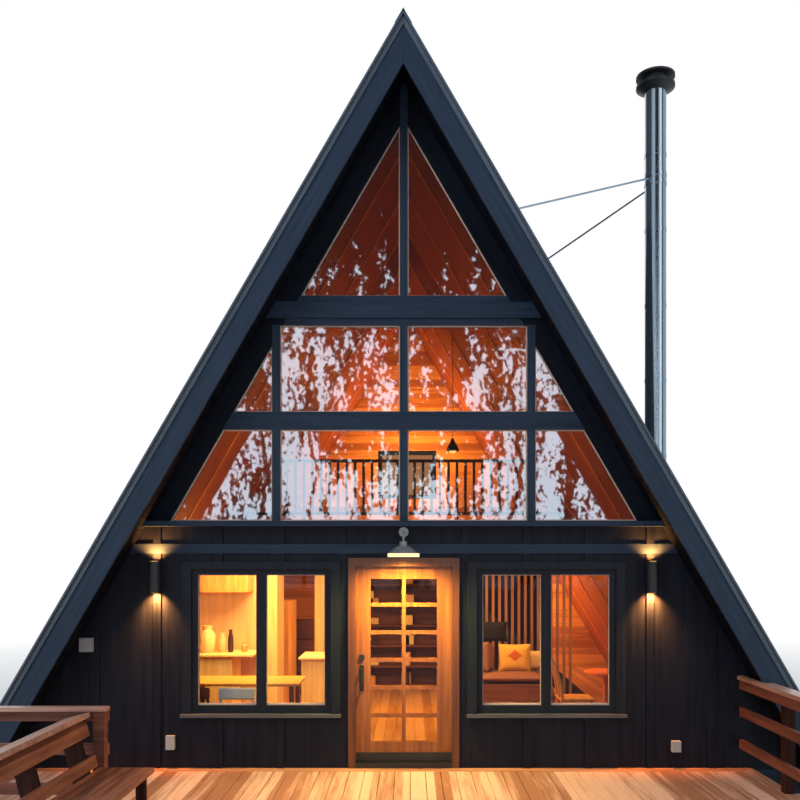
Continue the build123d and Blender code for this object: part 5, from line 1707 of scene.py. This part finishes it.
@dataclass
class Shelves:
    """The shelving that shows through the door's panes.

    Attributes:
        low: Lowest corner, its second number counted from the front wall's face.
        size: Width, depth and height.
        shelves: Number of boards.
        side: Thickness of the sides and boards.
        back: Thickness of the back, with its gap.
        box_depth: Depth of a box.
    """

    low: Point = (-0.72, 5.3, FLOOR_LEVEL)
    size: Point = (1.3, 0.32, 2.0)
    shelves: int = 7
    side: float = 0.025
    back: float = 0.012
    box_depth: float = 0.14

    @property
    def pitch(self) -> float:
        """Distance from one board to the next."""
        return (self.size[2] - 0.03) / (self.shelves - 1)

    def box(self, level: int, slot: int, number: int) -> Piece | None:
        """A box on one of the boards.

        Args:
            level: Number of the board, from the lowest.
            slot: 0 for the left and 1 for the right part of the board.
            number: Number of the box's finish.

        Returns:
            The box, or nothing where none stands.
        """
        x, y, z = self.low
        wide = 0.1 + 0.05 * ((level + 2 * number + slot) % 3)
        tall = 0.1 + 0.055 * ((2 * level + number + slot) % 3)
        left = x + 0.04 + 0.3 * ((3 * level + 5 * slot + number) % 4) + 0.03 * slot
        if (level + slot + number) % 2 or left + wide > x + self.size[0] - 0.03:
            return None
        foot = z + level * self.pitch + self.side + HAIR
        front = y + FRONT + 0.03 + 0.06 * ((level + number) % 3)
        return block("box", (left, front, foot), (left + wide, front + self.box_depth, foot + tall), 0.006)

    def build(self) -> None:
        """Builds the case and what stands on its boards."""
        x, y, z = self.low
        width, depth, height = self.size
        y += FRONT
        inner = self.side + 0.001
        board = block("shelf", (x + inner, y, z), (x + width - inner, y + depth, z + self.side), 0.003)
        side = block("side", (x, y, z), (x + self.side, y + depth, z + height), 0.003)
        behind = y + depth
        case = [
            repeat(board, (0, 0, self.pitch), self.shelves),
            repeat(side, (width - self.side, 0, 0), 2),
            block("back", (x, behind + HAIR, z), (x + width, behind + self.back, z + height), 0.002),
        ]
        settle(weld(case, "shelf_case"), "shelf_case", DRESSER)
        for number, finish in enumerate((CREAM, DARK_STAIN, PEACH, HONEY)):
            boxes = []
            for level in range(self.shelves - 1):
                boxes.append(self.box(level, 0, number) or self.box(level, 1, number))
            name = f"shelf_boxes_{number}"
            settle(weld([box for box in boxes if box], name), name, finish)


@dataclass
class Lounge:
    """What shows behind the right window: sofa with cushions, chair and side table.

    Attributes:
        pieces: The furniture, from the stair to the window.
        table_place: Middle of the side table, counted from the front wall's face.
        table_rise: Height of the table board's underside over the deck.
        table: Rings of the table's board.
        stand: Rings of its stand.
    """

    pieces: tuple[Case | Legs | Cushion | LightChair, ...] = (
        Case(
            "stair_back", (0.95, STAIR_END + 0.001, FLOOR_LEVEL), (2.12, STAIR_END + 0.013, 3.068), DARK_PANEL,
            0.003,
        ),
        Case("sofa_base", (1.0, 3.32, FLOOR_LEVEL + 0.08), (1.95, 4.12, SOFA_TOP), DRESSER, 0.01),
        Legs(
            "sofa_feet", (1.04, 3.36, FLOOR_LEVEL), (1.09, 3.41, FLOOR_LEVEL + 0.0795), (0.81, 0.66), 0.003,
            DARK_STAIN,
        ),
        Cushion("sofa_seat", (1.02, 3.3, SOFA_TOP + 0.001), (1.94, 4.08, SOFA_TOP + 0.15), 0.02, SOFA_CLOTH),
        Cushion("sofa_arm", (1.02, 3.5, SOFA_TOP + 0.145), (1.26, 4.05, SOFA_TOP + 0.56), 0.03, SOFA_CLOTH),
        Cushion("cushion_dark", (1.04, 3.6, SOFA_TOP + 0.55), (1.44, 3.78, SOFA_TOP + 0.84), 0.07, DARK_CLOTH),
        Cushion(
            "cushion_yellow", (1.3, 3.55, SOFA_TOP + 0.135), (1.76, 3.69, SOFA_TOP + 0.53), 0.07, YELLOW_CLOTH,
            ORANGE_CLOTH,
        ),
        Cushion("cushion_pale", (1.72, 3.72, SOFA_TOP + 0.14), (2.02, 3.84, SOFA_TOP + 0.42), 0.07, CREAM),
        LightChair(),
    )
    table_place: tuple[float, float] = (2.36, 1.62)
    table_rise: float = 0.72
    table: Profile = ((0.24, 0.0), (0.25, 0.01), (0.25, 0.03), (0.24, 0.04))
    stand: Profile = ((0.16, 0.0), (0.15, 0.02), (0.03, 0.04), (0.03, 0.6985))

    def build(self) -> None:
        """Places the lounge's pieces."""
        for piece in self.pieces:
            piece.build()
        x, y = self.table_place
        table = turned("side_table", self.table, (x, FRONT + y, DECK_TOP + self.table_rise), 28)
        stand = turned("stand", self.stand, (x, FRONT + y, FLOOR_LEVEL), 20)
        settle(weld([table, stand], "side_table"), "side_table", ORANGE_SEAT)


@dataclass
class Surroundings:
    """Even light, white behind the cabin, and shaded surroundings for its glass and metal to mirror.

    A mirrored ray points to the right with X, back with Y and up with Z. Its side and its rise are X and Z
    over its way forwards.

    Attributes:
        level: Strength of the light.
        tint: Colour of the light.
        broad: How often the sky's broad patches repeat on each axis.
        fine: How often its fine patches do.
        fall: Z from which the sky darkens upwards, and how fast.
        steep: Z from which it darkens faster, and by how much.
        centre: Half width and depth of a darker band straight ahead.
        sides: Place, half width and depth of a darker band on each side.
        verge_lean: How far the roof's mirrored edge leans in with its rise.
        verge_shift: How far it is moved to the left.
        verge_foot: Its side at no rise.
        verge_dark: Rise up to which the sky is darker beyond it, and by how much.
        room_middle: Rise of the middle of a darker oval.
        room_half: The oval's half width and height.
        room_dark: How much darker it is.
        bar_bend: How often the bend of the dark bars repeats on each axis.
        bar_sway: How far they bend.
        bar_pitch: How many bars there are in a unit of side.
        bar_half: Half of a bar's width, as a share of their pitch.
        bar_dark: Rise up to which they reach, and how dark they are.
        edges: Places and brightnesses of the ramp between dark gaps and pale patches.
        brightness: Brightness of the pale patches.
        around: Places and brightnesses of upright bands in a full turn.
        front: Part of a turn from straight ahead at which the patches end and the bands start.
    """

    level: float = 0.7
    tint: Colour = (0.84, 0.92, 1.0)
    broad: Point = (48.0, 48.0, 9.0)
    fine: Point = (230.0, 230.0, 150.0)
    fall: tuple[float, float] = (0.2, 0.3)
    steep: tuple[float, float] = (0.27, 0.6)
    centre: tuple[float, float] = (0.13, 0.045)
    sides: Point = (0.2, 0.055, 0.04)
    verge_lean: float = 0.581
    verge_shift: float = 0.008
    verge_foot: float = 0.262
    verge_dark: tuple[float, float] = (0.16, 0.2)
    room_middle: float = 0.14
    room_half: tuple[float, float] = (0.13, 0.05)
    room_dark: float = 0.09
    bar_bend: Point = (7.0, 7.0, 16.0)
    bar_sway: float = 0.9
    bar_pitch: float = 17.0
    bar_half: float = 0.045
    bar_dark: tuple[float, float] = (0.24, 0.12)
    edges: Profile = ((0.493, 0.01), (0.507, 1.0))
    brightness: float = 1.8
    around: Profile = (
        (0.1, 0.9), (0.14, 0.06), (0.33, 0.07), (0.37, 0.5), (0.58, 0.6), (0.6, 1.2),
        (0.64, 1.1), (0.655, 0.08), (0.69, 0.1), (0.72, 0.5), (0.84, 0.4), (0.88, 0.9),
    )
    front: tuple[float, float] = (0.05, 0.056)

    def patches(self, desk: Desk, where: Socket, scale: Point) -> Socket:
        """Uneven patches that repeat so often on each axis."""
        return desk.noise(desk.stretch(where, scale), 1.0, 4.0, 0.6)

    def room(self, desk: Desk, where: Socket, x: Socket, ahead: Socket, z: Socket) -> Socket:
        """How far the cabin's own parts darken the mirrored sky.

        Args:
            desk: The world's node tree.
            where: Direction of the ray.
            x: Its part to the right.
            ahead: Its part forwards.
            z: Its part upwards.

        Returns:
            The darkening.
        """
        forwards = desk.maths("MAXIMUM", ahead, 0.01)
        side, rise = desk.maths("DIVIDE", x, forwards), desk.maths("DIVIDE", z, forwards)
        moved = desk.maths("ABSOLUTE", desk.maths("ADD", side, self.verge_shift))
        slant = desk.maths("MULTIPLY_ADD", rise, self.verge_lean, moved)
        top, dark = self.verge_dark
        beyond = desk.maths("GREATER_THAN", slant, self.verge_foot)
        verge = desk.product(beyond, desk.maths("LESS_THAN", rise, top))
        half, tall = self.room_half
        wide = desk.maths("DIVIDE", side, half)
        high = desk.maths("DIVIDE", desk.maths("SUBTRACT", rise, self.room_middle), tall)
        oval = desk.maths("SUBTRACT", 1.0, desk.maths("MULTIPLY_ADD", wide, wide, desk.product(high, high)))
        inner = desk.maths("MAXIMUM", oval, 0.0)
        room = desk.maths("MULTIPLY_ADD", inner, self.room_dark, desk.product(verge, dark))
        sway = self.patches(desk, where, self.bar_bend)
        bent = desk.maths("MULTIPLY_ADD", sway, self.bar_sway, desk.product(side, self.bar_pitch))
        beside = desk.maths("ABSOLUTE", desk.maths("SUBTRACT", desk.maths("FRACT", bent), 0.5))
        top, dark = self.bar_dark
        reach = desk.product(desk.maths("LESS_THAN", rise, top), dark)
        return desk.maths("ADD", room, desk.product(desk.maths("LESS_THAN", beside, self.bar_half), reach))

    def sky(self, desk: Desk, where: Socket, x: Socket, ahead: Socket, z: Socket) -> Socket:
        """Pale patches with dark gaps, as the gable's glass mirrors them.

        Args:
            desk: The world's node tree.
            where: Direction of the ray.
            x: Its part to the right.
            ahead: Its part forwards.
            z: Its part upwards.

        Returns:
            The brightness.
        """
        broad, fine = (self.patches(desk, where, scale) for scale in (self.broad, self.fine))
        mixed = desk.maths("ADD", desk.product(broad, 0.5), desk.product(fine, 0.5))
        start, rate = self.fall
        falling = desk.product(desk.maths("SUBTRACT", z, start), rate)
        start, rate = self.steep
        steeper = desk.product(desk.maths("MAXIMUM", desk.maths("SUBTRACT", z, start), 0.0), rate)
        centre = desk.hump(x, 0.0, *self.centre)
        sides = desk.hump(desk.maths("ABSOLUTE", x), *self.sides)
        cabin = desk.maths("ADD", steeper, self.room(desk, where, x, ahead, z))
        darker = desk.maths("ADD", cabin, desk.maths("ADD", centre, sides))
        lowered = desk.maths("SUBTRACT", desk.maths("SUBTRACT", mixed, falling), darker)
        return desk.product(desk.greys(lowered, self.edges), self.brightness)

    def build(self) -> None:
        """Builds the world."""
        desk = Desk("studio", world=True)
        where = desk.add("ShaderNodeTexCoord").outputs["Generated"]
        x, y, z = desk.split(where)
        ahead = desk.product(y, -1.0)
        turn = desk.maths("MULTIPLY_ADD", desk.maths("ARCTAN2", x, ahead), 0.5 / math.pi, 0.5)
        away = desk.maths("ABSOLUTE", desk.maths("SUBTRACT", turn, 0.5))
        share = desk.greys(away, ((self.front[0], 1.0), (self.front[1], 0.0)))
        bands = desk.product(desk.maths("SUBTRACT", 1.0, share), desk.greys(turn, self.around))
        view = desk.maths("ADD", desk.product(share, self.sky(desk, where, x, ahead, z)), bands)
        rays = desk.add("ShaderNodeLightPath").outputs
        mirror = rays["Is Glossy Ray"]
        shade = desk.maths("ADD", desk.product(mirror, view), desk.maths("SUBTRACT", 1.0, mirror))
        light = desk.add("ShaderNodeBackground", {"Color": (*self.tint, 1.0), "Strength": self.level})
        white = desk.add("ShaderNodeBackground", {"Color": (1.0, 1.0, 1.0, 1.0), "Strength": shade})
        seen = desk.maths("MAXIMUM", rays["Is Camera Ray"], mirror)
        seen = desk.maths("MAXIMUM", seen, rays["Is Transmission Ray"])
        bpy.context.scene.world = desk.close(desk.blend(seen, light, white))


class LampKind(Enum):
    """Kinds of lamp."""

    AREA = "AREA"
    POINT = "POINT"
    SPOT = "SPOT"


@dataclass(frozen=True)
class Lamp:
    """A lamp of the studio or the cabin.

    Attributes:
        name: Name of the lamp.
        kind: Its kind.
        place: Where it stands.
        aim: The point that it faces.
        watts: Its power.
        size: Width, or radius of a point or spot.
        colour: Its colour.
        spread: Angle of a spot's cone in degrees.
        soft: How softly a spot's cone ends.
    """

    name: str
    kind: LampKind
    place: Point
    aim: Point
    watts: float
    size: float
    colour: Colour
    spread: float = 100.0
    soft: float = 0.9

    def hang(self) -> None:
        """Adds the lamp to the scene, where only its light shows."""
        data = bpy.data.lights.new(self.name, self.kind.value)
        data.energy = self.watts
        data.color = self.colour
        if self.kind is LampKind.AREA:
            data.size = self.size
        else:
            data.shadow_soft_size = self.size
        if self.kind is LampKind.SPOT:
            data.spot_size = math.radians(self.spread)
            data.spot_blend = self.soft
        lamp = bpy.data.objects.new(self.name, data)
        lamp.location = self.place
        lamp.rotation_euler = (Vector(self.aim) - Vector(self.place)).to_track_quat("-Z", "Y").to_euler()
        lamp.visible_camera = lamp.visible_glossy = lamp.visible_transmission = False
        bpy.context.scene.collection.objects.link(lamp)


@dataclass
class Studio:
    """Floor, light and camera.

    Attributes:
        eye: Place of the camera.
        focal: Focal length on a 36 mm sensor.
        shift: The camera's shift across and up.
        floor_colour: Colour of the floor.
        floor_size: Width of the floor.
        floor_room: How far the floor lies under the cabin.
        fade: Distances from the middle at which the floor starts to turn white and is white.
        key: The lamp before the cabin.
        warm: Colour of the wall lamps' light.
        cone: Radius of the wall lamps' light.
        proud: Its distance from the front wall's face.
        door_light: Colour of the door lamp's light.
        amber: Colour of the light indoors.
        rooms: Places and powers of the lamps under the loft.
        washes: Places and powers of the lamps beside the walls.
        kitchen: The lamp over the table.
    """

    eye: Point = (0.07, -10.85, 2.64)
    focal: float = 39.06
    shift: tuple[float, float] = (-0.0135, 0.2025)
    floor_colour: Colour = (0.93, 0.92, 0.9)
    floor_size: float = 160.0
    floor_room: float = 0.002
    fade: tuple[float, float] = (7.5, 22.0)
    key: Lamp = Lamp("key", LampKind.AREA, (-9.0, -14.0, 14.0), (0.0, 0.0, 3.0), 900.0, 9.0, (1.0, 0.98, 0.95))
    warm: Colour = (1.0, 0.29, 0.045)
    cone: float = 0.015
    proud: float = 0.085
    door_light: Colour = (1.0, 0.74, 0.17)
    amber: Colour = (1.0, 0.58, 0.2)
    rooms: tuple[tuple[Point, float], ...] = (
        ((-1.5, FRONT + 1.6, 2.98), 115.0),
        ((1.75, FRONT + 2.3, 2.98), 45.0),
        ((0.0, FRONT + 3.2, 2.98), 80.0),
    )
    washes: tuple[tuple[Point, float], ...] = (
        ((1.6, FRONT + 7.1, 2.3), 230.0),
        ((0.1, FRONT + 7.3, 4.9), 250.0),
        ((-1.2, FRONT + 0.9, 3.6), 22.0),
        ((1.2, FRONT + 0.9, 3.6), 12.0),
    )
    kitchen: Lamp = Lamp(
        "kitchen_lamp", LampKind.POINT, (-1.9, FRONT + 1.2, 2.35), (0, 0, 0), 34.0, 0.15, (1.0, 0.82, 0.32)
    )

    def camera(self) -> None:
        """Places the camera."""
        data = bpy.data.cameras.new("eye")
        data.lens = self.focal
        data.sensor_width = 36.0
        data.shift_x, data.shift_y = self.shift
        data.clip_end = 200.0
        eye = bpy.data.objects.new("eye", data)
        eye.location = self.eye
        eye.rotation_euler = (math.radians(90.0), 0.0, 0.0)
        bpy.context.scene.collection.objects.link(eye)
        bpy.context.scene.camera = eye

    def floor(self) -> None:
        """Lays the pale floor, which fades to white far from the cabin."""
        clear_selection()
        bpy.ops.mesh.primitive_plane_add(size=self.floor_size, location=(0.0, 0.0, -self.floor_room))
        plane = bpy.context.object
        plane.name = "studio_floor"
        desk = Desk("pale_floor")
        pale = desk.add("ShaderNodeBsdfDiffuse", {"Color": (*self.floor_colour, 1.0)})
        white = desk.add("ShaderNodeEmission")
        reach = desk.add("ShaderNodeVectorMath", operation="LENGTH")
        desk.join(desk.add("ShaderNodeTexCoord").outputs["Object"], reach.inputs[0])
        near, far = self.fade
        away = {"Value": reach.outputs["Value"], "From Min": near, "From Max": far}
        fade = desk.add("ShaderNodeMapRange", away).outputs[0]
        seen = desk.add("ShaderNodeLightPath").outputs["Is Camera Ray"]
        plane.data.materials.append(desk.close(desk.blend(desk.product(fade, seen), pale, white)))

    def wall_lamps(self) -> None:
        """Lights the wall above and below both wall lamps, and the door under its lamp."""
        low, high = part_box("wall_lamps")
        y = FRONT - self.proud
        for side in (-1, 1):
            x = side * (high.x - LAMP_RADIUS)
            up, over = (x, y, high.z + 0.008), (x, y + 0.6, high.z + 1.6)
            Lamp("cone_up", LampKind.SPOT, up, over, 140.0, self.cone, self.warm, 128.0).hang()
            down, under = (x, y, low.z - 0.008), (x, y + 1.2, low.z - 1.6)
            Lamp("cone_down", LampKind.SPOT, down, under, 320.0, self.cone, self.warm, 112.0).hang()
        place = (0, FRONT - 0.29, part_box("lamp_shade")[0].z - 0.02)
        aim = (0, FRONT - 0.1, 0)
        Lamp("door_lamp", LampKind.SPOT, place, aim, 380.0, 0.04, self.door_light, 165.0).hang()

    def build(self) -> None:
        """Sets up the whole studio."""
        self.camera()
        self.floor()
        Surroundings().build()
        self.key.hang()
        self.wall_lamps()
        for place, watts in self.rooms:
            Lamp("room_lamp", LampKind.AREA, place, (place[0], place[1], 0.0), watts, 1.0, self.amber).hang()
        for place, watts in self.washes:
            Lamp("wall_wash", LampKind.POINT, place, (0, 0, 0), watts, 0.12, self.amber).hang()
        self.kitchen.hang()


def main() -> None:
    """Builds the cabin's looks in order."""
    logging.basicConfig(level=logging.INFO, format="%(message)s")
    bpy.context.scene.view_settings.view_transform = "Standard"
    for finish, nodes in NODE_FINISHES.items():
        for node in nodes:
            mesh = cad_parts[node].data
            mesh.materials.clear()
            mesh.materials.append(material_of(finish))
            LOG.info("%s: %s", node, finish.name)
    outside = (RoofCovering(), DeckBoards(), GlazingBeads(), RoomLining(), BackBattens(), WallLights(), Pendant())
    for builder in (*outside, Kitchen(), Shelves(), Lounge(), Studio()):
        LOG.info("%s", type(builder).__name__)
        builder.build()
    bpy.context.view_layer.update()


if __name__ == "__main__":
    main()
